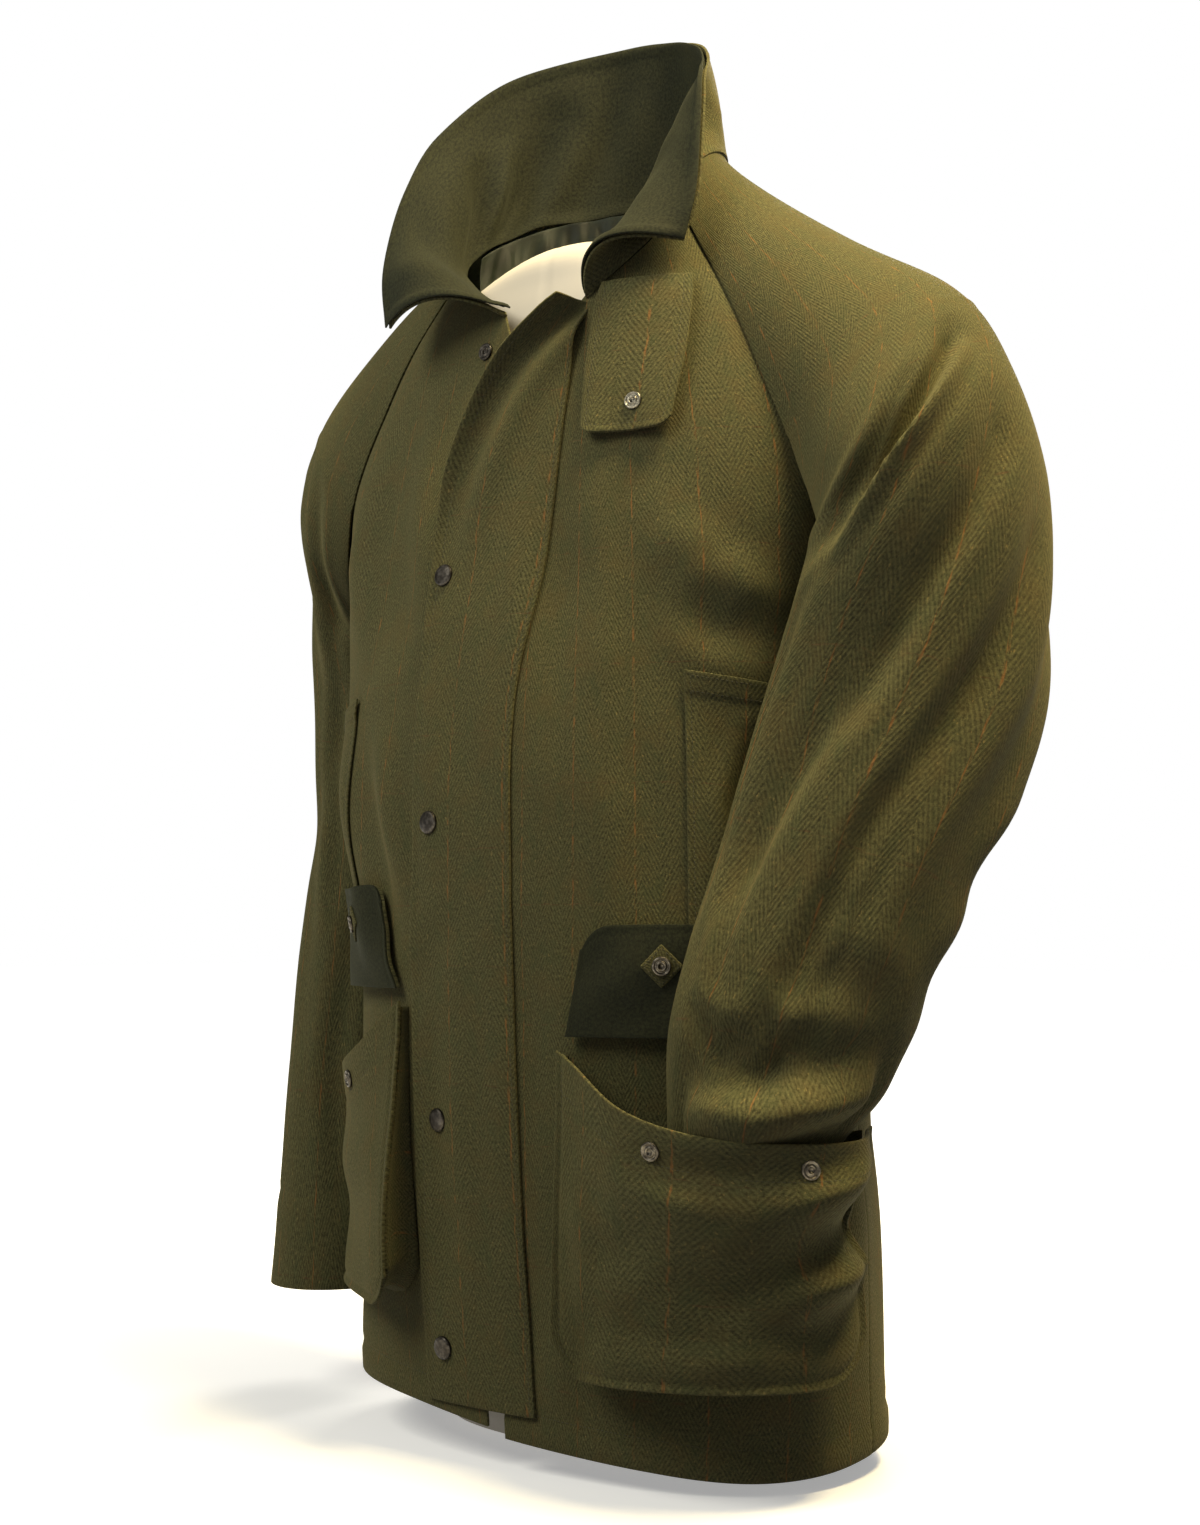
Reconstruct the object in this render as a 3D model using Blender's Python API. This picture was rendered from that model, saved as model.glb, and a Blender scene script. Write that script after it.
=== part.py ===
"""A tweed field jacket on a limbless dress form.

Metres, +Z up. The form stands on its flat base at z = 0, the jacket's front faces -Y and
the wearer's left is +X. Each piece of cloth is a wall through rings or sections worked out
from the tables below.
"""

import math

import bmesh
import bpy
from mathutils import Vector

MM = 0.001

# Cloth
TWEED = 2.2 * MM
MOLESKIN = 1.4 * MM
SATIN = 1.0 * MM
TAPE = 1.0 * MM
SEAM_GAP = 0.4 * MM
LAY_GAP = 1.0 * MM

UNDERARM_ROWS = 13
RAGLAN_ROWS = 11
BODY_ROWS = UNDERARM_ROWS + RAGLAN_ROWS
FRONT_COLUMNS = 11
BACK_COLUMNS = 16
SLEEVE_COLUMNS = 20
SLEEVE_ROWS = 26


def table(columns, *rows):
    """A short table: the first column is the key, which rises from row to row."""
    names = columns.split()
    return {name: [float(row[i]) for row in rows] for i, name in enumerate(names)}


def read(rows, column, key):
    """A smooth curve through the column's values, held level past either end."""
    keys = next(iter(rows.values()))
    values = rows[column]
    last = len(keys) - 1
    key = min(max(key, keys[0]), keys[last])
    i = max(k for k in range(last) if keys[k] <= key)

    def slope(k):
        low, high = max(k - 1, 0), min(k + 1, last)
        return (values[high] - values[low]) / (keys[high] - keys[low])

    span = keys[i + 1] - keys[i]
    f = (key - keys[i]) / span
    return (
        (1 + 2 * f) * (1 - f) ** 2 * values[i]
        + f * (1 - f) ** 2 * span * slope(i)
        + f * f * (3 - 2 * f) * values[i + 1]
        + f * f * (f - 1) * span * slope(i + 1)
    )


def ease(value, low=0.0, high=1.0):
    f = min(max((value - low) / (high - low), 0.0), 1.0)
    return f * f * (3 - 2 * f)


def mix(a, b, f):
    return a + (b - a) * f


# Body of the jacket: level rings, as wide as the wearer's left and right and as deep as
# front and back; "square" is 2 for an ellipse and more for fuller corners.
TORSO = table(
    "z left right front back square",
    (0.010, 0.195, 0.189, 0.116, 0.125, 2.3),
    (0.150, 0.195, 0.185, 0.128, 0.125, 2.3),
    (0.220, 0.188, 0.185, 0.133, 0.120, 2.3),
    (0.300, 0.190, 0.184, 0.136, 0.120, 2.3),
    (0.360, 0.185, 0.188, 0.137, 0.118, 2.3),
    (0.440, 0.183, 0.212, 0.136, 0.120, 2.3),
    (0.520, 0.188, 0.212, 0.128, 0.124, 2.3),
    (0.600, 0.196, 0.220, 0.115, 0.128, 2.3),
    (0.660, 0.192, 0.222, 0.105, 0.128, 2.25),
    (0.720, 0.172, 0.195, 0.094, 0.120, 2.2),
    (0.760, 0.150, 0.168, 0.088, 0.110, 2.15),
    (0.800, 0.124, 0.136, 0.074, 0.096, 2.1),
    (0.840, 0.103, 0.106, 0.060, 0.084, 2.05),
    (0.880, 0.086, 0.082, 0.048, 0.068, 2.0),
)

# Height of the hem, by angle: -90 centre front, 0 the side, 90 centre back.
HEM = table(
    "angle left right",
    (-90, 0.020, 0.024),
    (-45, 0.013, 0.034),
    (-22, 0.008, 0.036),
    (0, 0.012, 0.038),
    (30, 0.022, 0.038),
    (90, 0.034, 0.034),
)

# Height of the neckline, by angle.
NECKLINE = table(
    "angle left right",
    (-90, 0.744, 0.748),
    (-62, 0.757, 0.770),
    (-40, 0.788, 0.794),
    (-24, 0.822, 0.812),
    (-8, 0.862, 0.838),
    (20, 0.876, 0.862),
    (50, 0.874, 0.870),
    (90, 0.873, 0.873),
)

# Raglan seams on the body's rings, t from the neck (0) to the underarm (1).
RAGLAN_FRONT = table(
    "t angle_left angle_right z",
    (0.00, -24.0, -24.0, 0.817),
    (0.30, -20.0, -21.5, 0.740),
    (0.55, -16.2, -19.0, 0.664),
    (0.80, -10.0, -13.0, 0.598),
    (1.00, 6.0, 6.0, 0.548),
)
RAGLAN_BACK = table(
    "t angle_left angle_right z",
    (0.00, 50.0, 50.0, 0.872),
    (0.30, 42.0, 42.0, 0.780),
    (0.55, 36.0, 36.0, 0.690),
    (0.80, 27.0, 27.0, 0.610),
    (1.00, 6.0, 6.0, 0.548),
)
SIDE_SEAM = table("z angle", (0.0, 4.0), (0.548, 6.0))

# The fronts' own edges, as the distance from the centre line. They part above the zip.
FRONT_EDGE = table(
    "z left right",
    (0.000, 0.007, 0.007),
    (0.680, 0.006, 0.006),
    (0.720, 0.010, 0.008),
    (0.742, 0.027, 0.016),
    (0.757, 0.045, 0.024),
)
NECK_FRONT = {"left": 0.757, "right": 0.755}
UNDERARM_FRONT_Z = 0.530
UNDERARM_BACK_Z = 0.560

# Sleeves: sections along the arm, t from the neck (0) past the underarm (1) to the cuff (2).
# x is the distance outwards. width is half the section across the front-to-back direction,
# depth is half of it outwards; heading turns the section about Z, tilt lifts its outer
# side and pitch its front.
SLEEVE_LEFT = table(
    "t x y z width depth heading tilt pitch",
    (0.00, 0.073, 0.009, 0.842, 0.056, 0.020, -23, 60, 0),
    (0.30, 0.125, 0.015, 0.751, 0.070, 0.073, -18, 40, 0),
    (0.55, 0.178, 0.020, 0.680, 0.076, 0.105, -10, 42, 0),
    (0.80, 0.218, 0.015, 0.636, 0.083, 0.098, 0, 40, 0),
    (1.00, 0.248, 0.005, 0.588, 0.086, 0.077, 15, 32, 4),
    (1.25, 0.248, -0.015, 0.494, 0.087, 0.052, 38, 12, 12),
    (1.50, 0.224, -0.054, 0.383, 0.076, 0.044, 50, 8, 18),
    (1.74, 0.198, -0.091, 0.268, 0.069, 0.031, 45, 8, 18),
    (1.86, 0.184, -0.104, 0.212, 0.050, 0.024, 44, 6, 12),
    (2.00, 0.175, -0.101, 0.130, 0.044, 0.016, 42, 4, 6),
)
SLEEVE_RIGHT = table(
    "t x y z width depth heading tilt pitch",
    (0.00, 0.076, 0.009, 0.839, 0.056, 0.020, -23, 50, 0),
    (0.30, 0.147, 0.018, 0.762, 0.070, 0.069, -18, 42, 0),
    (0.55, 0.203, 0.026, 0.695, 0.078, 0.086, -10, 46, 0),
    (0.80, 0.235, 0.036, 0.646, 0.080, 0.078, 0, 46, 0),
    (1.00, 0.257, 0.050, 0.594, 0.078, 0.057, 0, 40, 0),
    (1.25, 0.263, 0.060, 0.490, 0.074, 0.049, 0, 10, 0),
    (1.50, 0.267, 0.052, 0.360, 0.070, 0.051, 0, 0, 0),
    (1.75, 0.265, 0.030, 0.215, 0.066, 0.050, 0, 0, 0),
    (2.00, 0.260, 0.004, 0.076, 0.060, 0.048, 8, 0, 0),
)
# Solids of each sleeve, as (name, first row, last row). The bent one is in two.
SLEEVE_SOLIDS = {
    "left": (("sleeve_left", 0, 17), ("sleeve_left_lower", 17.025, 26)),
    "right": (("sleeve_right", 0, 26),),
}
SEAM_LIFT = TWEED + SEAM_GAP
SEAM_FADE = 0.30
NECK_FADE = 0.30

# How far the sleeves stay off the body beside them, clear of what lies on it.
ARM_CLEARANCE = table(
    "z gap",
    (0.00, 0.006),
    (0.26, 0.007),
    (0.28, 0.013),
    (0.30, 0.017),
    (0.33, 0.017),
    (0.35, 0.012),
    (0.38, 0.008),
    (0.50, 0.008),
    (0.52, 0.0035),
)

# Collar, turned up: one section for each row, from the right front end (258) round the
# back (90) to the left front end (-62). The section runs from the neckline through "mid"
# to its free edge.
COLLAR = table(
    "angle edge_x edge_y edge_z mid_x mid_y mid_z",
    (-62, 0.115, -0.070, 0.784, 0.070, -0.100, 0.784),
    (-38, 0.120, -0.062, 0.820, 0.068, -0.054, 0.826),
    (-18, 0.110, -0.042, 0.874, 0.068, -0.024, 0.872),
    (2, 0.095, -0.018, 0.917, 0.072, -0.002, 0.906),
    (22, 0.070, 0.020, 0.950, 0.074, 0.027, 0.914),
    (50, 0.042, 0.050, 0.977, 0.049, 0.059, 0.924),
    (90, 0.000, 0.076, 0.999, 0.000, 0.075, 0.932),
    (130, -0.058, 0.068, 1.003, -0.055, 0.066, 0.930),
    (165, -0.121, 0.026, 0.982, -0.106, 0.026, 0.912),
    (195, -0.138, -0.034, 0.923, -0.112, -0.030, 0.872),
    (215, -0.131, -0.074, 0.866, -0.102, -0.072, 0.838),
    (235, -0.122, -0.100, 0.806, -0.082, -0.102, 0.806),
    (258, -0.109, -0.110, 0.765, -0.058, -0.118, 0.776),
)
COLLAR_START, COLLAR_END = -62, 258
COLLAR_RISE = 1.5 * MM
YOKE_RISE = 5.0 * MM
YOKE_FRONT = (-36, -26)
YOKE_BACK = (52, 62)
COLLAR_HALF_GAP = 0.2 * MM
COLLAR_TWEED = 1.8 * MM

# Storm placket, sewn to the left front: its free and sewn edges as x, and how far its
# free edge stands off.
PLACKET = table(
    "z free sewn stand",
    (0.036, -0.058, 0.033, 0.000),
    (0.200, -0.060, 0.030, 0.000),
    (0.380, -0.060, 0.027, 0.000),
    (0.485, -0.060, 0.026, 0.000),
    (0.565, -0.058, 0.037, 0.001),
    (0.610, -0.056, 0.040, 0.003),
    (0.650, -0.044, 0.041, 0.008),
    (0.690, -0.024, 0.042, 0.013),
    (0.722, 0.000, 0.044, 0.016),
    (0.745, 0.026, 0.049, 0.014),
    (0.752, 0.036, 0.051, 0.012),
)
PLACKET_LOW = 0.036
PLACKET_HIGH = 0.752
PLACKET_CAPS = ((0.071, 0.018), (0.217, 0.022), (0.409, 0.018), (0.574, 0.012))

ZIP_HALF = 2.5 * MM
ZIP_TAPE_WIDTH = 0.014
ZIP_LOW = 0.046
ZIP_BELOW_NECK = 0.015

# Throat tab, hanging below the left collar leaf.
TAB = table(
    "z inner outer stand",
    (0.655, 0.058, 0.119, 0.004),
    (0.700, 0.056, 0.121, 0.004),
    (0.745, 0.057, 0.118, 0.003),
    (0.762, 0.059, 0.114, 0.002),
)
TAB_LOW, TAB_HIGH = 0.655, 0.762
TAB_WIDTH = 0.062
TAB_CORNER = 0.010
TAB_STUD = (0.56, 0.18)

# Round corners stop at this share of their radius
CORNER_SHARE = 0.92

# Bellows pockets and their flaps
POCKET_MIDDLE = {"left": -35.5, "right": -35.0}
POCKET_RAISE = {"left": 0.0, "right": 0.027}
POCKET_WIDTH = 0.182
POCKET_LOW = 0.070
POCKET_CORNER = 0.034
POCKET_RADIUS = 0.185
POCKET_COLUMNS, POCKET_ROWS = 12, 9
GUSSET_INSET = 0.004
GUSSET_GAP = 1.8 * MM
MOUTH = table(
    "across z",
    (0.00, 0.266),
    (0.15, 0.252),
    (0.30, 0.236),
    (0.50, 0.226),
    (0.72, 0.221),
    (0.88, 0.222),
    (1.00, 0.224),
)
# How far the wall's inside stands off the body, across the pocket: along its bottom and
# along its mouth. The left one is filled by the sleeve's end.
STAND_LEFT = table(
    "across low high",
    (0.00, 0.019, 0.006),
    (0.15, 0.022, 0.022),
    (0.30, 0.028, 0.040),
    (0.50, 0.034, 0.058),
    (0.72, 0.036, 0.065),
    (0.88, 0.031, 0.059),
    (1.00, 0.022, 0.036),
)
STAND_RIGHT = table(
    "across low high",
    (0.00, 0.028, 0.006),
    (0.15, 0.024, 0.010),
    (0.30, 0.017, 0.012),
    (0.50, 0.012, 0.012),
    (0.75, 0.010, 0.010),
    (1.00, 0.009, 0.008),
)
FLAP_LOW, FLAP_HIGH = 0.274, 0.342
FLAP_CORNER = 0.024
FLAP_OUT = 6.8 * MM
PATCH_THICK = 1.5 * MM
PATCH_GAP = 0.7 * MM
FLAP_INNER = 0.006
FLAP_TAPER = {"left": 0.012, "right": 0.026}
PATCH_HALF = 0.013
PATCH_Z = 0.317
STUD_ACROSS = (-0.018, 0.047)
STUD_BELOW_MOUTH = 0.017

# A single stud beside the zip's top end
NECK_STUD_X, NECK_STUD_Z = -0.036, 0.732
NECK_STUD_SPAN = 0.020

# Back neck lining: where it starts, how deep it is and how far inside the body it lies
LINING_START = -14
LINING_DROP_SIDE, LINING_DROP_BACK = 0.034, 0.054
LINING_INSET = (7 * MM, 4 * MM)

# Hand-warmer pocket: a patch with a raised welt along its top.
WARMER_INNER, WARMER_OUTER = -36.0, -12.0
WARMER_LOW, WARMER_HIGH = 0.300, 0.500
WARMER_SLANT = 0.012
WARMER_WELT = 0.012
WELT_RISE = 1.0 * MM

# Studs and caps, as (radius, height) profiles
CAP_PROFILE = ((7.5, 0.0), (7.5, 1.6), (6.4, 2.8), (4.2, 2.2))
SOCKET_PROFILE = ((6.0, 0.0), (6.0, 1.2), (4.2, 2.0), (2.8, 1.2))
STUD_SIDES = 12
STUD_GAP = 0.4 * MM

# Dress form
FORM = table(
    "z side front back",
    (0.000, 0.130, 0.050, 0.084),
    (0.060, 0.148, 0.072, 0.092),
    (0.150, 0.164, 0.098, 0.094),
    (0.300, 0.162, 0.108, 0.092),
    (0.420, 0.160, 0.108, 0.092),
    (0.550, 0.168, 0.098, 0.102),
    (0.640, 0.170, 0.086, 0.104),
    (0.700, 0.166, 0.078, 0.098),
    (0.740, 0.160, 0.075, 0.090),
    (0.765, 0.148, 0.073, 0.080),
    (0.780, 0.130, 0.071, 0.064),
    (0.790, 0.108, 0.070, 0.050),
    (0.797, 0.085, 0.068, 0.036),
    (0.803, 0.063, 0.063, 0.027),
    (0.809, 0.046, 0.052, 0.018),
    (0.812, 0.030, 0.038, 0.008),
)
FORM_SQUARE = 2.3
FORM_COLUMNS = 28
FORM_ROWS = 22
FORM_TOP = 0.812

# Largest folds, as smooth ridges (height above 0) or valleys: from one end to the other
# in metres round the piece and up or along it, with the half width across the fold.
BODY_FOLDS_LEFT = (
    # from: round, up; to: round, up; half width; height
    (-0.170, 0.560, -0.060, 0.420, 0.035, -0.004),
    (-0.110, 0.020, -0.080, 0.060, 0.040, 0.004),
)
BODY_FOLDS_RIGHT = (
    (-0.120, 0.560, -0.030, 0.400, 0.035, -0.004),
    (-0.110, 0.030, -0.080, 0.060, 0.040, 0.003),
)
SLEEVE_FOLDS_LEFT = (
    # from: round, along; to: round, along; half width; height
    (0.175, 0.188, 0.125, 0.262, 0.014, -0.008),
    (0.215, 0.242, 0.150, 0.385, 0.018, -0.009),
    (0.260, 0.272, 0.221, 0.405, 0.017, -0.006),
    (0.157, 0.452, 0.215, 0.452, 0.011, -0.005),
)
SLEEVE_FOLDS_RIGHT = (
    (0.180, 0.190, 0.110, 0.300, 0.018, -0.005),
    (0.120, 0.340, 0.210, 0.370, 0.016, -0.004),
)
GIRTH = 0.44
ARM_LENGTH = 0.50
BODY_RADIUS = 0.17


def ridges(folds, across, along):
    """Height of all the folds at one place."""
    total = 0.0
    for x0, y0, x1, y1, half, height in folds:
        dx, dy = x1 - x0, y1 - y0
        f = ((across - x0) * dx + (along - y0) * dy) / (dx * dx + dy * dy)
        f = min(max(f, 0.0), 1.0)
        near = (across - x0 - f * dx) ** 2 + (along - y0 - f * dy) ** 2
        total += height * math.exp(-near / half**2)
    return total


def side_name(side):
    return "left" if side > 0 else "right"


def body(side, angle, z):
    """A point on the jacket's body: angle is -90 at the centre front, 0 at the side."""
    c, s = math.cos(math.radians(angle)), math.sin(math.radians(angle))
    half = read(TORSO, side_name(side if c >= 0 else -side), z)
    deep = read(TORSO, "front" if s < 0 else "back", z)
    square = read(TORSO, "square", z)
    radius = (abs(c / half) ** square + abs(s / deep) ** square) ** (-1 / square)
    folds = BODY_FOLDS_LEFT if side > 0 else BODY_FOLDS_RIGHT
    radius += ridges(folds, math.radians(angle) * BODY_RADIUS, z)
    return Vector((side * radius * c, radius * s, z))


def body_normal(side, angle, z):
    round_body = body(side, angle + 1, z) - body(side, angle - 1, z)
    up = body(side, angle, z + 0.004) - body(side, angle, z - 0.004)
    return (round_body.cross(up) * side).normalized()


def on_body(side, angle, z, out):
    return body(side, angle, z) + body_normal(side, angle, z) * out


def angle_at(side, x, z):
    """The angle on one side at which the front lies x from the centre line."""
    deep = read(TORSO, "front", z)
    half = read(TORSO, side_name(side), z)
    square = read(TORSO, "square", z)
    y = deep * (1 - abs(x / half) ** square) ** (1 / square)
    return math.degrees(math.atan2(-y, x))


def on_front(x, z, out):
    side = 1 if x >= 0 else -1
    return on_body(side, angle_at(side, abs(x), z), z, out)


def raglan(seam, side, t):
    rows = RAGLAN_FRONT if seam == "front" else RAGLAN_BACK
    return read(rows, "angle_" + side_name(side), t), read(rows, "z", t)


def body_edge(seam, side, v):
    """(angle, z) along a body panel's outer edge: up the side seam, then the raglan seam."""
    split = UNDERARM_ROWS / BODY_ROWS
    if v <= split:
        angle, top = raglan(seam, side, 1.0)
        hem = read(HEM, side_name(side), 0)
        z = mix(hem, top, v / split)
        return read(SIDE_SEAM, "angle", z), z
    return raglan(seam, side, 1 - (v - split) / (1 - split))


def middle_z(v, hem, underarm, neck):
    split = UNDERARM_ROWS / BODY_ROWS
    if v <= split:
        return mix(hem, underarm, v / split)
    return mix(underarm, neck, (v - split) / (1 - split))


SEAM_ANGLE = math.degrees(SEAM_GAP / 2 / BODY_RADIUS)


def settled(side, angle, z, v, hem, neck):
    """Moves a panel's height so that its ends lie on the hem and on the neckline; hem and
    neck are where they would be without."""
    z += (read(HEM, side_name(side), angle) - hem) * (1 - ease(v, 0.0, 0.3))
    return z + (read(NECKLINE, side_name(side), angle) - neck) * ease(v, 0.7, 1.0)


def front_place(side, u, v):
    """(angle, z) on a front panel, u from the centre front to the side."""
    name = side_name(side)
    edge_angle, edge_z = body_edge("front", side, v)
    hem = read(HEM, name, -90)
    z = middle_z(v, hem, UNDERARM_FRONT_Z, NECK_FRONT[name])
    angle = mix(angle_at(side, read(FRONT_EDGE, name, z), z), edge_angle - SEAM_ANGLE, u)
    hem = mix(hem, read(HEM, name, 0), u)
    neck = mix(NECK_FRONT[name], raglan("front", side, 0)[1], u)
    return angle, settled(side, angle, mix(z, edge_z, u), v, hem, neck)


def front_point(side):
    def point(u, v):
        return body(side, *front_place(side, u, v))

    return point


def back_point(u, v):
    """The back panel, u from the wearer's right (0) to the left (1)."""
    side = 1 if u >= 0.5 else -1
    f = abs(u - 0.5) * 2
    edge_angle, edge_z = body_edge("back", side, v)
    hem, neck = read(HEM, "left", 90), read(NECKLINE, "left", 90)
    z = mix(middle_z(v, hem, UNDERARM_BACK_Z, neck), edge_z, f)
    hem = mix(hem, read(HEM, side_name(side), 0), f)
    neck = mix(neck, raglan("back", side, 0)[1], f)
    angle = mix(90, edge_angle + SEAM_ANGLE, f)
    return body(side, angle, settled(side, angle, z, v, hem, neck))


def clear_of_body(side, place, hold):
    """Pushes a point on a sleeve straight out from the body's middle, as far as it needs."""
    angle = math.degrees(math.atan2(place.y, side * place.x))
    flat = math.hypot(place.x, place.y)
    need = body(side, angle, place.z).xy.length + read(ARM_CLEARANCE, "gap", place.z)
    short = (need - flat) * hold
    soft = 0.004
    push = short if short > soft else 0.0 if short < -soft else (short + soft) ** 2 / (4 * soft)
    return Vector((place.x * (1 + push / flat), place.y * (1 + push / flat), place.z))


def sleeve_point(side):
    rows = SLEEVE_LEFT if side > 0 else SLEEVE_RIGHT
    folds = SLEEVE_FOLDS_LEFT if side > 0 else SLEEVE_FOLDS_RIGHT

    def ring(phi, t):
        heading, tilt, pitch = (
            math.radians(read(rows, column, t)) for column in ("heading", "tilt", "pitch")
        )
        centre = Vector([read(rows, column, t) for column in "xyz"])
        level = Vector((-math.sin(heading), -math.cos(heading), 0))
        front = level * math.cos(pitch) + Vector((0, 0, math.sin(pitch)))
        level = Vector((math.cos(heading), -math.sin(heading), 0))
        outward = level * math.cos(tilt) + Vector((0, 0, math.sin(tilt)))
        reach = front * read(rows, "width", t) * math.cos(phi)
        rise = outward * read(rows, "depth", t) * math.sin(phi)
        place = centre + reach + rise
        return Vector((side * place.x, place.y, place.z)), centre

    def point(turn, t):
        opening = math.radians(90 * min(t, 1.0) ** 2)
        phi = -opening + (math.pi + 2 * opening) * turn
        place, centre = ring(phi, t)
        seam_t = min(t, 1.0)
        hold = 1 - ease(t, 1.0, 1.0 + SEAM_FADE)
        ends = (("front", -opening, turn), ("back", math.pi + opening, 1 - turn))
        for seam, end, away in ends:
            if hold <= 0:
                break
            near = on_body(side, *raglan(seam, side, seam_t), SEAM_LIFT)
            weight = max(1 - away / 0.5, 0.0) ** 2 if away > 0 else 1 - away / 0.25
            place = place + (near - ring(end, seam_t)[0]) * weight * hold
        at_neck = 1 - ease(t, 0.0, NECK_FADE)
        if at_neck > 0:
            angle = mix(raglan("front", side, 0)[0], raglan("back", side, 0)[0], turn)
            edge = on_body(side, angle, read(NECKLINE, side_name(side), angle), SEAM_LIFT)
            place = place.lerp(edge, at_neck**2)
        if t > 0.6:
            place = clear_of_body(side, place, ease(t, 0.6, 0.9))
        inside = Vector((side * centre.x, centre.y, centre.z))
        lift = ridges(folds, turn * GIRTH, t * ARM_LENGTH / 2)
        return place + (place - inside).normalized() * lift

    return point


def along_sleeve(row):
    """Sleeve rows share the raglan seam's rows down to the underarm, at t = 1."""
    if row <= RAGLAN_ROWS:
        return row / RAGLAN_ROWS
    return 1 + (row - RAGLAN_ROWS) / (SLEEVE_ROWS - RAGLAN_ROWS)


def collar_point(out):
    """One layer of the collar: u from the left front end to the right, v up to its edge."""

    def middle(u, v):
        angle = mix(COLLAR_START, COLLAR_END, u)
        side, near = (1, angle) if angle <= 90 else (-1, 180 - angle)
        on_yoke = ease(near, *YOKE_FRONT) * (1 - ease(near, *YOKE_BACK))
        rise = mix(COLLAR_RISE, YOKE_RISE, on_yoke)
        base = body(side, near, read(NECKLINE, side_name(side), near)) + Vector((0, 0, rise))
        edge = Vector([read(COLLAR, "edge_" + k, angle) for k in "xyz"])
        mid = Vector([read(COLLAR, "mid_" + k, angle) for k in "xyz"])
        bend = mid * 2 - (base + edge) / 2
        return base * (1 - v) ** 2 + bend * 2 * v * (1 - v) + edge * v * v

    def point(u, v):
        across = middle(u + 0.004, v) - middle(u - 0.004, v)
        up = middle(u, v + 0.02) - middle(u, v - 0.02)
        return middle(u, v) + across.cross(up).normalized() * out

    return point


def placket_point(u, v):
    z = mix(PLACKET_LOW, PLACKET_HIGH, v)
    x = mix(read(PLACKET, "free", z), read(PLACKET, "sewn", z), u)
    stand = read(PLACKET, "stand", z) * max(1 - u, 0.0) ** 1.4
    return on_front(x, z, LAY_GAP + TWEED + stand)


def tape_point(side):
    def point(u, v):
        z = mix(ZIP_LOW, NECK_FRONT[side_name(side)] - ZIP_BELOW_NECK, v)
        name = side_name(side)
        edge = read(FRONT_EDGE, name, z) - read(FRONT_EDGE, name, 0) + ZIP_HALF
        return on_front(side * (edge + ZIP_TAPE_WIDTH * u), z, -TWEED - LAY_GAP)

    return point


def rounded(across, low, corner, width):
    """Height of a pocket's bottom edge at one place across it, with round corners."""
    past = min(abs(across) - (width / 2 - corner), CORNER_SHARE * corner)
    return low if past <= 0 else low + corner - math.sqrt(corner**2 - past**2)


def spread(u):
    """Columns closer together near both ends."""
    return 0.5 * u + 0.5 * (0.5 - 0.5 * math.cos(math.pi * u))


def column_at(f):
    """The column, as u, that spread puts at one place."""
    u = f
    for _ in range(20):
        u += f - spread(u)
    return u


def pocket_angle(side, across):
    return POCKET_MIDDLE[side_name(side)] + math.degrees(across / POCKET_RADIUS)


def pocket_place(side, f, v):
    """(across, z, stand) on a pocket's wall: stand is how far its inside is off the body."""
    across = (f - 0.5) * POCKET_WIDTH
    low = rounded(across, POCKET_LOW, POCKET_CORNER, POCKET_WIDTH)
    z = mix(low, read(MOUTH, "z", f), v)
    rows = STAND_LEFT if side > 0 else STAND_RIGHT
    stand = mix(read(rows, "low", f), read(rows, "high", f), ease(v))
    return across, z + POCKET_RAISE[side_name(side)], stand


def pocket_point(side):
    def point(u, v):
        across, z, stand = pocket_place(side, spread(u), v)
        return on_body(side, pocket_angle(side, across), z, stand + TWEED)

    return point


def gusset_point(side):
    """Round the pocket's left, bottom and right edges, u; v from the body to the wall."""
    stops = [(0.0, 1 - i / POCKET_ROWS) for i in range(POCKET_ROWS)]
    stops += [(spread(i / POCKET_COLUMNS), 0.0) for i in range(POCKET_COLUMNS)]
    stops += [(1.0, i / POCKET_ROWS) for i in range(POCKET_ROWS + 1)]
    middle_z = (POCKET_LOW + FLAP_LOW) / 2 + POCKET_RAISE[side_name(side)]
    keep = 1 - GUSSET_INSET / (POCKET_WIDTH / 2)

    def point(u, v):
        place = min(max(u, 0.0), 1.0) * (len(stops) - 1)
        i = min(int(place), len(stops) - 2)
        f = u * (len(stops) - 1) - i
        here, after = (pocket_place(side, *stops[k]) for k in (i, i + 1))
        across = mix(here[0], after[0], f) * keep
        z = middle_z + (mix(here[1], after[1], f) - middle_z) * keep
        out = mix(LAY_GAP, mix(here[2], after[2], f) - GUSSET_GAP, v)
        return on_body(side, pocket_angle(side, across), z, out)

    return point


def flap_point(side, out):
    def point(u, v):
        width = POCKET_WIDTH - FLAP_INNER
        across = (spread(u) - 0.5) * width
        top = FLAP_HIGH + FLAP_LOW - rounded(across, FLAP_LOW, FLAP_CORNER, width)
        z = mix(FLAP_LOW, top, v) + POCKET_RAISE[side_name(side)]
        across = mix(across, width / 2, FLAP_TAPER[side_name(side)] / width * v)
        return on_body(side, pocket_angle(side, across + FLAP_INNER / 2), z, out)

    return point


def patch_point(side, middle, out):
    def point(u, v):
        across = middle + (u - v) * PATCH_HALF
        z = PATCH_Z + (u + v - 1) * PATCH_HALF + POCKET_RAISE[side_name(side)]
        return on_body(side, pocket_angle(side, across), z, out)

    return point


def warmer_point(side):
    def point(u, v):
        share = WARMER_WELT / (WARMER_HIGH - WARMER_LOW)
        welt = ease(v, 1 - 2 * share, 1 - share) * WELT_RISE
        z = mix(WARMER_LOW, WARMER_HIGH - WARMER_SLANT * u, v)
        return on_body(side, mix(WARMER_INNER, WARMER_OUTER, u), z, LAY_GAP + PATCH_THICK + welt)

    return point


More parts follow.
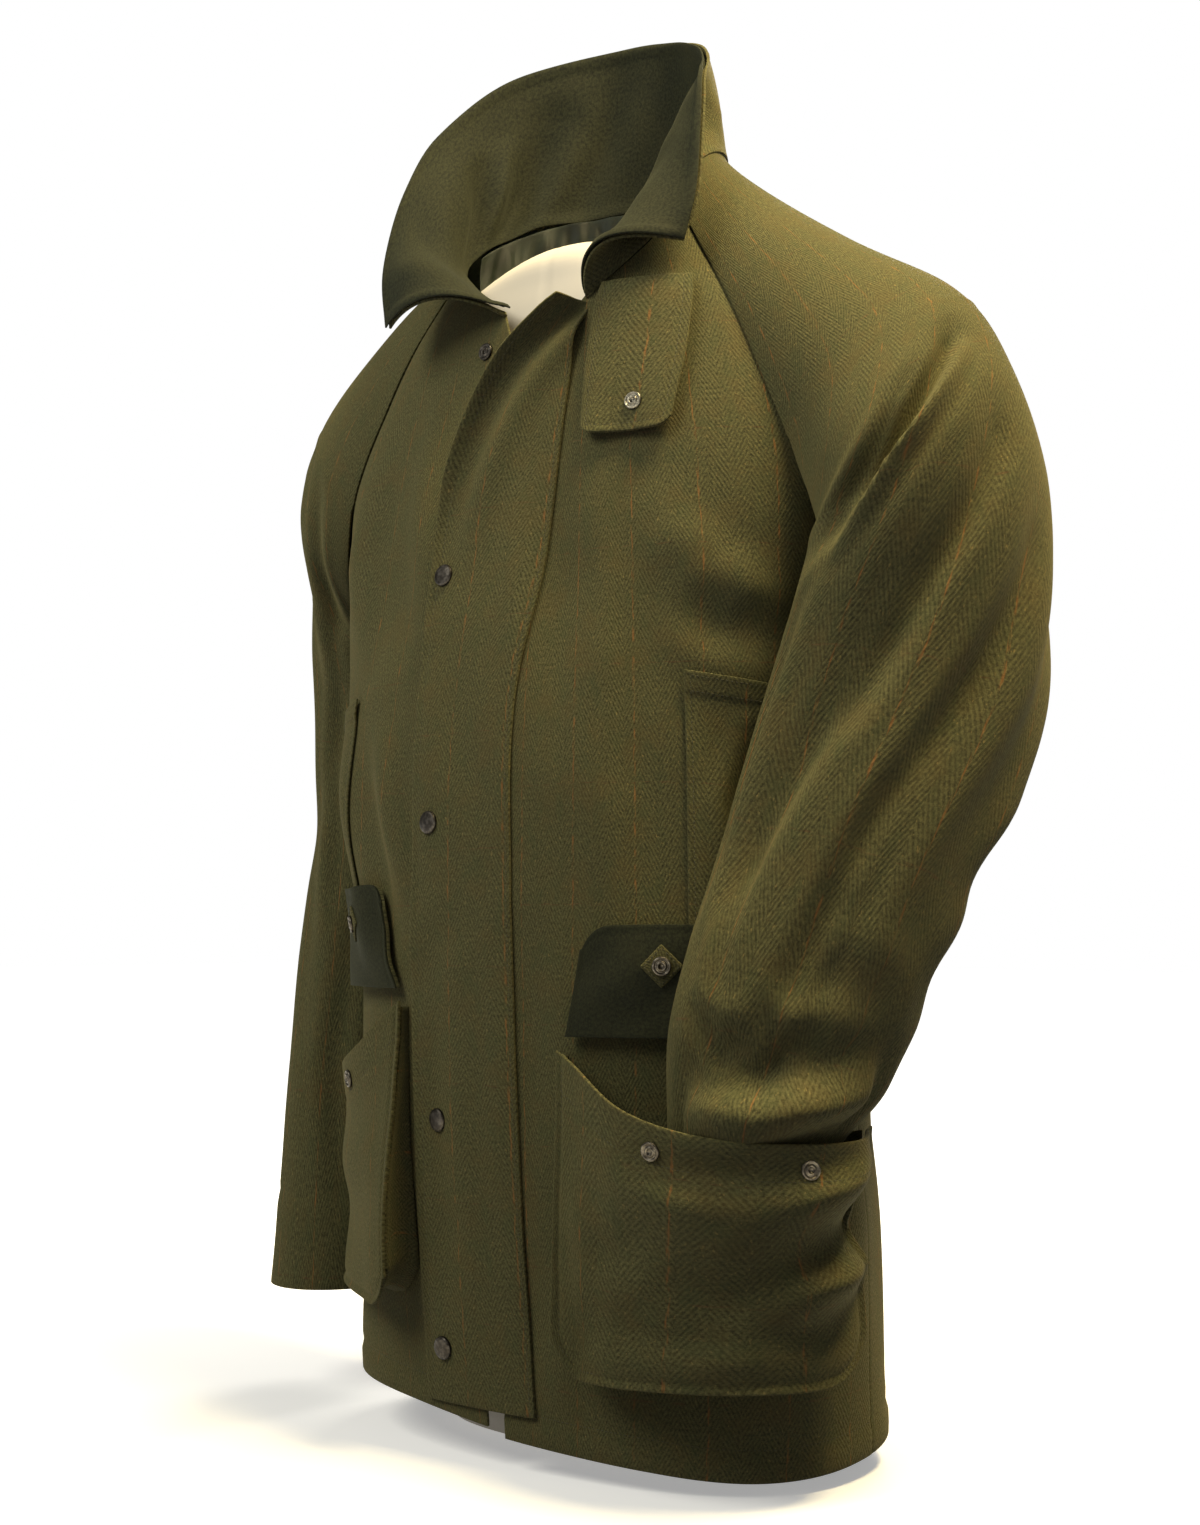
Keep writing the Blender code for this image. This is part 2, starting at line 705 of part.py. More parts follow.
def tab_point(u, v):
    z = mix(TAB_LOW, TAB_HIGH, v)
    low = rounded((spread(u) - 0.5) * TAB_WIDTH, 0.0, TAB_CORNER, TAB_WIDTH) * (1 - v)
    x = mix(read(TAB, "inner", z), read(TAB, "outer", z), spread(u))
    return on_front(x, z + low, LAY_GAP + TWEED + read(TAB, "stand", z))


def beside_zip(u, v):
    x = NECK_STUD_X - NECK_STUD_SPAN * (u - 0.5)
    return on_front(x, NECK_STUD_Z + NECK_STUD_SPAN * (v - 0.5), LAY_GAP)


def lining_point(u, v):
    angle = mix(LINING_START, 180 - LINING_START, u)
    side, near = (1, angle) if angle <= 90 else (-1, 180 - angle)
    base = body(side, near, read(NECKLINE, side_name(side), near))
    flat = Vector((base.x, base.y, 0)).normalized()
    drop = mix(LINING_DROP_SIDE, LINING_DROP_BACK, ease(near, 30, 90))
    return base - flat * mix(*LINING_INSET, v) - Vector((0, 0, LAY_GAP + drop * v))


def paint(name, colour, roughness, metallic=0.0):
    material = bpy.data.materials.new(name)
    material.use_nodes = True
    shader = material.node_tree.nodes["Principled BSDF"]
    shader.inputs["Base Color"].default_value = (*colour, 1.0)
    shader.inputs["Roughness"].default_value = roughness
    shader.inputs["Metallic"].default_value = metallic
    return material


def finish(name, bm, material):
    bmesh.ops.recalc_face_normals(bm, faces=bm.faces)
    if bm.calc_volume(signed=True) < 0:
        bmesh.ops.reverse_faces(bm, faces=bm.faces)
    mesh = bpy.data.meshes.new(name)
    bm.to_mesh(mesh)
    bm.free()
    mesh.shade_smooth()
    made = bpy.data.objects.new(name, mesh)
    made.data.materials.append(material)
    bpy.context.scene.collection.objects.link(made)
    return made


def wall(name, material, columns, rows, point, thickness, facing=1, tube_from=None, key=None):
    """A cloth wall. point(u, key(v)) is its outer face; facing is 1 where u, then v, turn
    anticlockwise seen from outside. Rows past tube_from close into a tube."""
    bm = bmesh.new()
    bmesh.ops.create_grid(bm, x_segments=columns, y_segments=rows, size=0.5)
    inward = bm.verts.layers.float_vector.new("inward")
    firsts, lasts = {}, {}
    for vert in bm.verts:
        u, v = vert.co.x + 0.5, vert.co.y + 0.5
        row = round(v * rows)
        if key is not None:
            v = key(v)
        across = point(u + 0.004, v) - point(u - 0.004, v)
        along = point(u, v + 0.004) - point(u, v - 0.004)
        vert.co = point(u, v)
        vert[inward] = across.cross(along).normalized() * -thickness * facing
        if tube_from is not None and v > tube_from:
            if u < 1e-4:
                firsts[row] = vert
            elif u > 1 - 1e-4:
                lasts[row] = vert
    bmesh.ops.weld_verts(bm, targetmap={lasts[row]: vert for row, vert in firsts.items()})
    made = bmesh.ops.extrude_face_region(bm, geom=bm.faces[:])
    for vert in (part for part in made["geom"] if isinstance(part, bmesh.types.BMVert)):
        vert.co += vert[inward]
    return finish(name, bm, material)


def stud(name, material, profile, place, normal):
    """A stud or cap: its profile turned about the normal, standing on its place."""
    bm = bmesh.new()
    points = [(0.0, profile[0][1])] + list(profile) + [(0.0, profile[-1][1])]
    verts = [bm.verts.new((radius * MM, 0, height * MM)) for radius, height in points]
    edges = [bm.edges.new(pair) for pair in zip(verts, verts[1:])]
    bmesh.ops.spin(
        bm, geom=verts + edges, cent=(0, 0, 0), axis=(0, 0, 1), angle=2 * math.pi,
        steps=STUD_SIDES, use_merge=True,
    )
    bmesh.ops.remove_doubles(bm, verts=bm.verts, dist=1e-6)
    turn = Vector((0, 0, 1)).rotation_difference(normal).to_matrix().to_4x4()
    bmesh.ops.transform(bm, matrix=turn, verts=bm.verts)
    bmesh.ops.translate(bm, vec=place, verts=bm.verts)
    return finish(name, bm, material)


def form(material):
    bm = bmesh.new()
    rings = []
    for row in range(FORM_ROWS + 1):
        z = FORM_TOP * (1 - (1 - row / FORM_ROWS) ** 1.5)
        ring = []
        for column in range(FORM_COLUMNS):
            angle = 2 * math.pi * column / FORM_COLUMNS
            c, s = math.cos(angle), math.sin(angle)
            deep = read(FORM, "front" if s < 0 else "back", z)
            near = abs(c / read(FORM, "side", z)) ** FORM_SQUARE + abs(s / deep) ** FORM_SQUARE
            radius = near ** (-1 / FORM_SQUARE)
            ring.append(bm.verts.new((radius * c, radius * s, z)))
        rings.append(ring)
    for low, high in zip(rings, rings[1:]):
        for i in range(FORM_COLUMNS):
            j = (i + 1) % FORM_COLUMNS
            bm.faces.new((low[i], low[j], high[j], high[i]))
    bm.faces.new(rings[0])
    bm.faces.new(rings[-1])
    return finish("dress_form", bm, material)


def normal_of(point, u, v, facing=1):
    across = point(u + 0.004, v) - point(u - 0.004, v)
    along = point(u, v + 0.004) - point(u, v - 0.004)
    return across.cross(along).normalized() * facing


def stud_on(name, material, profile, point, u, v, facing=1):
    normal = normal_of(point, u, v, facing)
    return stud(name, material, profile, point(u, v) + normal * STUD_GAP, normal)


def main():
    for old in list(bpy.data.objects):
        bpy.data.objects.remove(old)
    tweed = paint("tweed", (0.085, 0.075, 0.030), 0.95)
    moleskin = paint("moleskin", (0.030, 0.040, 0.020), 0.90)
    satin = paint("satin", (0.020, 0.030, 0.020), 0.45)
    gunmetal = paint("gunmetal", (0.10, 0.095, 0.085), 0.35, 1.0)
    tape = paint("tape", (0.030, 0.035, 0.018), 0.90)
    ivory = paint("ivory", (0.80, 0.72, 0.60), 0.45)

    form(ivory)
    wall("back", tweed, BACK_COLUMNS, BODY_ROWS, back_point, TWEED, -1)
    for side in (1, -1):
        name = side_name(side)
        wall("front_" + name, tweed, FRONT_COLUMNS, BODY_ROWS, front_point(side), TWEED, side)
        for solid, first, last in SLEEVE_SOLIDS[name]:
            wall(
                solid, tweed, SLEEVE_COLUMNS, round(last - first), sleeve_point(side), TWEED, -side,
                tube_from=1 - 1e-6, key=lambda v: along_sleeve(mix(first, last, v)),
            )
        wall("zip_tape_" + name, tape, 2, BODY_ROWS, tape_point(side), TAPE, side)
        wall("pocket_" + name, tweed, POCKET_COLUMNS, POCKET_ROWS, pocket_point(side), TWEED, side)
        gusset_columns = 2 * POCKET_ROWS + POCKET_COLUMNS
        wall("gusset_" + name, tweed, gusset_columns, 2, gusset_point(side), -TWEED, side)
        flap = flap_point(side, FLAP_OUT)
        lining_out = FLAP_OUT + SEAM_GAP + MOLESKIN
        wall("flap_" + name, tweed, 12, 4, flap, TWEED, side)
        wall("flap_lining_" + name, moleskin, 12, 4, flap_point(side, lining_out), MOLESKIN, side)
        pocket = pocket_point(side)
        for number, across in enumerate(STUD_ACROSS, 1):
            patch = patch_point(side, across, lining_out + PATCH_GAP + PATCH_THICK)
            wall(f"flap_patch_{name}_{number}", tweed, 2, 2, patch, PATCH_THICK, side)
            stud_on(f"flap_stud_{name}_{number}", gunmetal, SOCKET_PROFILE, patch, 0.5, 0.5, side)
            u = column_at(across / POCKET_WIDTH + 0.5)
            v = 1 - STUD_BELOW_MOUTH / (read(MOUTH, "z", spread(u)) - POCKET_LOW)
            stud_on(f"pocket_stud_{name}_{number}", gunmetal, SOCKET_PROFILE, pocket, u, v, side)
        wall("warmer_" + name, tweed, 6, 8, warmer_point(side), PATCH_THICK, side)

    outside = collar_point(COLLAR_HALF_GAP + COLLAR_TWEED)
    wall("under_collar", tweed, 28, 5, outside, COLLAR_TWEED)
    wall("collar_facing", moleskin, 28, 5, collar_point(-COLLAR_HALF_GAP), MOLESKIN)
    wall("back_neck_lining", satin, 26, 2, lining_point, SATIN)
    wall("placket", tweed, 5, 28, placket_point, TWEED)
    wall("throat_tab", tweed, 6, 6, tab_point, TWEED)
    stud_on("neck_stud", gunmetal, SOCKET_PROFILE, beside_zip, 0.5, 0.5, -1)
    stud_on("tab_stud", gunmetal, SOCKET_PROFILE, tab_point, *TAB_STUD)
    for number, (z, inset) in enumerate(PLACKET_CAPS, 1):
        v = (z - PLACKET_LOW) / (PLACKET_HIGH - PLACKET_LOW)
        u = inset / (read(PLACKET, "sewn", z) - read(PLACKET, "free", z))
        stud_on(f"placket_cap_{number}", gunmetal, CAP_PROFILE, placket_point, u, v)


main()
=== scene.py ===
"""A tweed field jacket on a limbless dress form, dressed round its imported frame.

Metres, +Z up. The front faces -Y and the wearer's left is +X. Every cloth piece is a fine
shell on the same rings, sections and tables as its solid, with the smaller folds on top.
"""

import math

import bmesh
import bpy
import numpy as np
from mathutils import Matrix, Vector


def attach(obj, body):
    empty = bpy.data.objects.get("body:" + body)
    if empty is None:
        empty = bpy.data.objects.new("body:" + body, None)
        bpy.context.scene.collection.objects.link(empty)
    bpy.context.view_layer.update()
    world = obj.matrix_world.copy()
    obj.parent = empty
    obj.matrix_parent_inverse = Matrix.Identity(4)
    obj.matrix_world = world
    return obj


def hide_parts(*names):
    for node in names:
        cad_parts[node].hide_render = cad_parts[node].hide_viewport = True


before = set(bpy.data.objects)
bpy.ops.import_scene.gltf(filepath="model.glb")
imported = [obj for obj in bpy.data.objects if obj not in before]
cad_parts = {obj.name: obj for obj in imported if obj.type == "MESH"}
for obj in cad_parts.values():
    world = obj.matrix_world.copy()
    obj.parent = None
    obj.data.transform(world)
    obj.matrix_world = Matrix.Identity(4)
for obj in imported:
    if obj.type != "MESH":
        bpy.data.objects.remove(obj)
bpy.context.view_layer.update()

bl_info = {
    "name": "Tweed Field Jacket",
    "version": (1, 0, 0),
    "blender": (4, 5, 0),
    "location": "View3D > Sidebar > Jacket",
    "description": "Builds a tweed field jacket on a limbless dress form",
    "category": "Add Mesh",
}

MM = 0.001

# Camera: degrees, metres, and its focal length in pixels of the photo's height
CAMERA_TURN, CAMERA_PITCH = 38.0, 4.7
CAMERA_AWAY, CAMERA_HIGH = 1.40, 0.34
CAMERA_SHIFT = (-0.0055, -0.0043)
CAMERA_FOCAL, PHOTO_HEIGHT = 2019, 1525

# Studio floor
FLOOR_REACH, FLOOR_DROP = 14, 0.5 * MM

# Thickness of the cloths, and the gaps between pieces at a seam and under a laid-on piece
TWEED = 2.2 * MM
MOLESKIN = 1.4 * MM
SATIN = 1.0 * MM
TAPE = 1.0 * MM
SEAM_GAP = 0.4 * MM
LAY_GAP = 1.0 * MM

# Rows of the solids that the seams are shared by
UNDERARM_ROWS, RAGLAN_ROWS, SLEEVE_ROWS = 13, 11, 26

# Share of a body panel, from its hem up, that lies below the underarm
SPLIT = UNDERARM_ROWS / (UNDERARM_ROWS + RAGLAN_ROWS)

# Shares of its height in which a body panel settles on the hem and on the neckline
SETTLED_BELOW, SETTLED_ABOVE = 0.3, 0.7

# Half the width of the groove that a row of stitches pulls in, and its depth in thin cloth
LINE_HALF, WIDE_LINE_HALF, FINE_LINE_HALF = 1.4 * MM, 1.6 * MM, 1.2 * MM
THIN_LINE_DEPTH = 0.4 * MM

# Small steps along a surface, from which its directions are worked out
STEP, WIDE_STEP = 0.004, 0.02


def table(columns, *rows):
    """A short table: the first column is the key, which rises from row to row."""
    names = columns.split()
    return {name: np.array([float(row[i]) for row in rows]) for i, name in enumerate(names)}


def read(rows, column, key):
    """A smooth curve through the column's values, held level past either end."""
    keys = next(iter(rows.values()))
    values = rows[column]
    order = np.arange(len(keys))
    low, high = np.maximum(order - 1, 0), np.minimum(order + 1, len(keys) - 1)
    slope = (values[high] - values[low]) / (keys[high] - keys[low])
    key = np.clip(key, keys[0], keys[-1])
    i = np.clip(np.searchsorted(keys, key, side="right") - 1, 0, len(keys) - 2)
    span = keys[i + 1] - keys[i]
    f = (key - keys[i]) / span
    return (
        (1 + 2 * f) * (1 - f) ** 2 * values[i]
        + f * (1 - f) ** 2 * span * slope[i]
        + f * f * (3 - 2 * f) * values[i + 1]
        + f * f * (f - 1) * span * slope[i + 1]
    )


def ease(value, low=0.0, high=1.0):
    f = np.clip((value - low) / (high - low), 0.0, 1.0)
    return f * f * (3 - 2 * f)


def swell(distance, half):
    """1 on a line and falling smoothly to nothing beside it."""
    return np.exp(-((distance / half) ** 2))


def mix(a, b, f):
    return a + (b - a) * f


def xyz(x, y, z):
    return np.stack(np.broadcast_arrays(x, y, z), axis=-1)


def unit(v):
    return v / np.maximum(np.linalg.norm(v, axis=-1, keepdims=True), 1e-12)


# Body of the jacket: level rings, as wide as the wearer's left and right and as deep as
# front and back; "square" is 2 for an ellipse and more for fuller corners.
TORSO = table(
    "z left right front back square",
    (0.010, 0.195, 0.189, 0.116, 0.125, 2.3),
    (0.150, 0.195, 0.185, 0.128, 0.125, 2.3),
    (0.220, 0.188, 0.185, 0.133, 0.120, 2.3),
    (0.300, 0.190, 0.184, 0.136, 0.120, 2.3),
    (0.360, 0.185, 0.188, 0.137, 0.118, 2.3),
    (0.440, 0.183, 0.212, 0.136, 0.120, 2.3),
    (0.520, 0.188, 0.212, 0.128, 0.124, 2.3),
    (0.600, 0.196, 0.220, 0.115, 0.128, 2.3),
    (0.660, 0.192, 0.222, 0.105, 0.128, 2.25),
    (0.720, 0.172, 0.195, 0.094, 0.120, 2.2),
    (0.760, 0.150, 0.168, 0.088, 0.110, 2.15),
    (0.800, 0.124, 0.136, 0.074, 0.096, 2.1),
    (0.840, 0.103, 0.106, 0.060, 0.084, 2.05),
    (0.880, 0.086, 0.082, 0.048, 0.068, 2.0),
)

# Height of the hem, by angle: -90 centre front, 0 the side, 90 centre back.
HEM = table(
    "angle left right",
    (-90, 0.020, 0.024),
    (-45, 0.013, 0.034),
    (-22, 0.008, 0.036),
    (0, 0.012, 0.038),
    (30, 0.022, 0.038),
    (90, 0.034, 0.034),
)

# Turned-up hems: how deep they are, how much fuller, and how far their stitches pull in
HEM_DEPTH, CUFF_HEM = 0.019, 0.030
HEM_FULLNESS, HEM_LINE_DEPTH = 0.8 * MM, 1.4 * MM

# Height of the neckline, by angle.
NECKLINE = table(
    "angle left right",
    (-90, 0.744, 0.748),
    (-62, 0.757, 0.770),
    (-40, 0.788, 0.794),
    (-24, 0.822, 0.812),
    (-8, 0.862, 0.838),
    (20, 0.876, 0.862),
    (50, 0.874, 0.870),
    (90, 0.873, 0.873),
)

# Raglan seams on the body's rings, t from the neck (0) to the underarm (1).
RAGLAN_FRONT = table(
    "t angle_left angle_right z",
    (0.00, -24.0, -24.0, 0.817),
    (0.30, -20.0, -21.5, 0.740),
    (0.55, -16.2, -19.0, 0.664),
    (0.80, -10.0, -13.0, 0.598),
    (1.00, 6.0, 6.0, 0.548),
)
RAGLAN_BACK = table(
    "t angle_left angle_right z",
    (0.00, 50.0, 50.0, 0.872),
    (0.30, 42.0, 42.0, 0.780),
    (0.55, 36.0, 36.0, 0.690),
    (0.80, 27.0, 27.0, 0.610),
    (1.00, 6.0, 6.0, 0.548),
)
SIDE_SEAM = table("z angle", (0.0, 4.0), (0.548, 6.0))

# The fronts' own edges, as the distance from the centre line. They part above the zip.
FRONT_EDGE = table(
    "z left right",
    (0.000, 0.007, 0.007),
    (0.680, 0.006, 0.006),
    (0.720, 0.010, 0.008),
    (0.742, 0.027, 0.016),
    (0.757, 0.045, 0.024),
)
NECK_FRONT = {"left": 0.757, "right": 0.755}
UNDERARM_FRONT_Z = 0.530
UNDERARM_BACK_Z = 0.560

# Sleeves: sections along the arm, t from the neck (0) past the underarm (1) to the cuff (2).
# x is the distance outwards. width is half the section across the front-to-back direction,
# depth is half of it outwards; heading turns the section about Z, tilt lifts its outer
# side and pitch its front.
SLEEVE_LEFT = table(
    "t x y z width depth heading tilt pitch",
    (0.00, 0.073, 0.009, 0.842, 0.056, 0.020, -23, 60, 0),
    (0.30, 0.125, 0.015, 0.751, 0.070, 0.073, -18, 40, 0),
    (0.55, 0.178, 0.020, 0.680, 0.076, 0.105, -10, 42, 0),
    (0.80, 0.218, 0.015, 0.636, 0.083, 0.098, 0, 40, 0),
    (1.00, 0.248, 0.005, 0.588, 0.086, 0.077, 15, 32, 4),
    (1.25, 0.248, -0.015, 0.494, 0.087, 0.052, 38, 12, 12),
    (1.50, 0.224, -0.054, 0.383, 0.076, 0.044, 50, 8, 18),
    (1.74, 0.198, -0.091, 0.268, 0.069, 0.031, 45, 8, 18),
    (1.86, 0.184, -0.104, 0.212, 0.050, 0.024, 44, 6, 12),
    (2.00, 0.175, -0.101, 0.130, 0.044, 0.016, 42, 4, 6),
)
SLEEVE_RIGHT = table(
    "t x y z width depth heading tilt pitch",
    (0.00, 0.076, 0.009, 0.839, 0.056, 0.020, -23, 50, 0),
    (0.30, 0.147, 0.018, 0.762, 0.070, 0.069, -18, 42, 0),
    (0.55, 0.203, 0.026, 0.695, 0.078, 0.086, -10, 46, 0),
    (0.80, 0.235, 0.036, 0.646, 0.080, 0.078, 0, 46, 0),
    (1.00, 0.257, 0.050, 0.594, 0.078, 0.057, 0, 40, 0),
    (1.25, 0.263, 0.060, 0.490, 0.074, 0.049, 0, 10, 0),
    (1.50, 0.267, 0.052, 0.360, 0.070, 0.051, 0, 0, 0),
    (1.75, 0.265, 0.030, 0.215, 0.066, 0.050, 0, 0, 0),
    (2.00, 0.260, 0.004, 0.076, 0.060, 0.048, 8, 0, 0),
)

# How much of t a sleeve takes to leave the seams' line below the underarm, and to leave
# the neckline
SEAM_FADE, NECK_FADE = 0.30, 0.30
# Shares of a sleeve's turn that each seam pulls on, inside it and past it
SEAM_REACH, SEAM_BEYOND = 0.5, 0.25

# How far the sleeves stay off the body beside them, clear of what lies on it.
ARM_CLEARANCE = table(
    "z gap",
    (0.00, 0.006),
    (0.26, 0.007),
    (0.28, 0.013),
    (0.30, 0.017),
    (0.33, 0.017),
    (0.35, 0.012),
    (0.38, 0.008),
    (0.50, 0.008),
    (0.52, 0.0035),
)
# How softly they are pushed clear, and between which sections that comes in
ARM_SOFTNESS, CLEAR_FROM = 0.004, (0.6, 0.9)

# Collar, turned up: one section for each row, from the right front end (258) round the
# back (90) to the left front end (-62). The section runs from the neckline through "mid"
# to its free edge.
COLLAR = table(
    "angle edge_x edge_y edge_z mid_x mid_y mid_z",
    (-62, 0.115, -0.070, 0.784, 0.070, -0.100, 0.784),
    (-38, 0.120, -0.062, 0.820, 0.068, -0.054, 0.826),
    (-18, 0.110, -0.042, 0.874, 0.068, -0.024, 0.872),
    (2, 0.095, -0.018, 0.917, 0.072, -0.002, 0.906),
    (22, 0.070, 0.020, 0.950, 0.074, 0.027, 0.914),
    (50, 0.042, 0.050, 0.977, 0.049, 0.059, 0.924),
    (90, 0.000, 0.076, 0.999, 0.000, 0.075, 0.932),
    (130, -0.058, 0.068, 1.003, -0.055, 0.066, 0.930),
    (165, -0.121, 0.026, 0.982, -0.106, 0.026, 0.912),
    (195, -0.138, -0.034, 0.923, -0.112, -0.030, 0.872),
    (215, -0.131, -0.074, 0.866, -0.102, -0.072, 0.838),
    (235, -0.122, -0.101, 0.802, -0.082, -0.103, 0.802),
    (258, -0.109, -0.112, 0.757, -0.058, -0.120, 0.767),
)
COLLAR_START, COLLAR_END = -62, 258
COLLAR_RISE = -0.5 * MM
COLLAR_HALF_GAP = 0.2 * MM
COLLAR_TWEED = 1.8 * MM
COLLAR_OUT = COLLAR_HALF_GAP + COLLAR_TWEED
# Size of its cloth, and how far inside its edges the stitches run
COLLAR_AROUND, COLLAR_DEEP = 0.50, 0.11
COLLAR_STITCH = 0.006
COLLAR_LINE_DEPTH = 0.5 * MM
# How far each layer swells, at the neck and on the roll just inside its rim
COLLAR_SWELLS_OUT, COLLAR_SWELLS_IN = (0.5 * MM, 0.8 * MM), (-2.2 * MM, -1.8 * MM)
COLLAR_NECK_SHARE = 0.12
COLLAR_RIM, COLLAR_ROLL = 3 * MM, 3.2 * MM
COLLAR_CREASES = (
    # from the left front end, up from the neck; heights positive outwards
    (0.330, 0.074, 0.350, 0.040, 0.378, 0.006, 0.011, 0.0085),
    (0.312, 0.088, 0.326, 0.052, 0.345, 0.010, 0.014, -0.0050),
    (0.384, 0.066, 0.391, 0.040, 0.406, 0.006, 0.008, 0.0060),
    (0.366, 0.070, 0.372, 0.048, 0.390, 0.016, 0.007, -0.0034),
    (0.404, 0.095, 0.412, 0.070, 0.424, 0.030, 0.013, -0.0044),
    (0.446, 0.090, 0.448, 0.060, 0.452, 0.020, 0.012, 0.0034),
    (0.200, 0.020, 0.215, 0.050, 0.240, 0.080, 0.018, 0.0036),
    (0.262, 0.085, 0.275, 0.050, 0.290, 0.012, 0.016, -0.0040),
    (0.110, 0.020, 0.118, 0.050, 0.112, 0.085, 0.013, 0.0034),
    (0.072, 0.070, 0.060, 0.045, 0.040, 0.020, 0.009, -0.0026),
    (0.030, 0.020, 0.040, 0.050, 0.036, 0.085, 0.011, -0.0026),
)

# Storm placket, sewn to the left front: its free and sewn edges as x, and how far its
# free edge stands off.
PLACKET = table(
    "z free sewn stand",
    (0.036, -0.058, 0.033, 0.000),
    (0.200, -0.060, 0.030, 0.000),
    (0.380, -0.060, 0.027, 0.000),
    (0.485, -0.060, 0.026, 0.000),
    (0.565, -0.058, 0.037, 0.001),
    (0.610, -0.056, 0.040, 0.003),
    (0.650, -0.044, 0.041, 0.008),
    (0.690, -0.024, 0.042, 0.013),
    (0.722, 0.000, 0.044, 0.016),
    (0.745, 0.026, 0.049, 0.014),
    (0.752, 0.036, 0.051, 0.012),
)
PLACKET_LOW, PLACKET_HIGH = 0.036, 0.752
PLACKET_WIDTH = 0.09
# How sharply its stand falls off across it
PLACKET_FALL = 1.4
# Its caps: height, and distance from the free edge
PLACKET_CAPS = ((0.071, 0.018), (0.217, 0.022), (0.409, 0.018), (0.574, 0.012))
# Its rows of stitches, from the free edge and from the sewn one
PLACKET_STITCH, PLACKET_SEWN = 7 * MM, 3 * MM
PLACKET_LINE_DEPTH, PLACKET_SEWN_DROP = 0.5 * MM, 0.8 * MM
# Its top rolls forward: how far, between which heights it starts, and across it the rim's
# half width and the hollow's and the crest's (place, half width)
PLACKET_ROLL, PLACKET_ROLL_FROM = 0.0045, (0.56, 0.66)
PLACKET_RIM_HALF = 0.0045
PLACKET_WAVES = ((0.015, 0.010), (0.038, 0.012))
PLACKET_CREASES = (
    # across from the free edge, up
    (0.010, 0.300, 0.025, 0.330, 0.045, 0.345, 0.012, -0.0012),
    (0.060, 0.420, 0.045, 0.455, 0.030, 0.520, 0.014, -0.0012),
    (0.015, 0.140, 0.035, 0.150, 0.070, 0.140, 0.012, -0.0010),
)

ZIP_HALF = 2.5 * MM
ZIP_TAPE_WIDTH = 0.014
ZIP_LOW = 0.046
ZIP_BELOW_NECK = 0.015

# Throat tab, hanging below the left collar leaf.
TAB = table(
    "z inner outer stand",
    (0.655, 0.058, 0.119, 0.004),
    (0.700, 0.056, 0.121, 0.004),
    (0.745, 0.057, 0.118, 0.003),
    (0.762, 0.059, 0.114, 0.002),
)
TAB_LOW, TAB_HIGH = 0.655, 0.762
TAB_WIDTH, TAB_CORNER = 0.062, 0.010
TAB_CURL = 1.5 * MM
# Its stud, as shares of its width and height
TAB_STUD = (0.56, 0.18)

# Round corners stop at this share of their radius.
CORNER_SHARE = 0.92

# Bellows pockets and their flaps
POCKET_MIDDLE = {"left": -35.5, "right": -35.0}
POCKET_RAISE = {"left": 0.0, "right": 0.027}
POCKET_WIDTH = 0.182
POCKET_LOW = 0.070
POCKET_CORNER = 0.034
POCKET_RADIUS = 0.185
POCKET_COLUMNS, POCKET_ROWS = 12, 9
# How far inside the wall's edge the gusset lies, how deep it folds in, and between which
# stands the fold comes in
GUSSET_INSET, GUSSET_FOLD, FOLD_STAND = 0.004, 0.005, (0.008, 0.02)
MOUTH = table(
    "across z",
    (0.00, 0.266),
    (0.15, 0.252),
    (0.30, 0.236),
    (0.50, 0.223),
    (0.72, 0.214),
    (0.88, 0.213),
    (1.00, 0.220),
)
# How far the wall's inside stands off the body, across the pocket: along its bottom and
# along its mouth. The left one is filled by the sleeve's end.
STAND_LEFT = table(
    "across low high",
    (0.00, 0.019, 0.006),
    (0.15, 0.022, 0.022),
    (0.30, 0.028, 0.040),
    (0.50, 0.034, 0.058),
    (0.72, 0.036, 0.065),
    (0.88, 0.031, 0.059),
    (1.00, 0.022, 0.036),
)
STAND_RIGHT = table(
    "across low high",
    (0.00, 0.028, 0.006),
    (0.15, 0.024, 0.010),
    (0.30, 0.017, 0.012),
    (0.50, 0.012, 0.012),
    (0.75, 0.010, 0.010),
    (1.00, 0.009, 0.008),
)
# Where the left pocket's outer edge is drawn in: its height, half its length, and how far
POCKET_PINCH = (0.158, 0.022, 0.011)
# Its stitches' distance from the edge, the depth of their grooves, the bead along its rim,
# and the depth of the hem along its mouth
POCKET_STITCH = 0.005
POCKET_LINE_DEPTH, MOUTH_LINE_DEPTH = 1.0 * MM, 0.5 * MM
POCKET_BEAD, POCKET_BEAD_HALF = 1.3 * MM, 2.6 * MM
MOUTH_HEM = 0.024
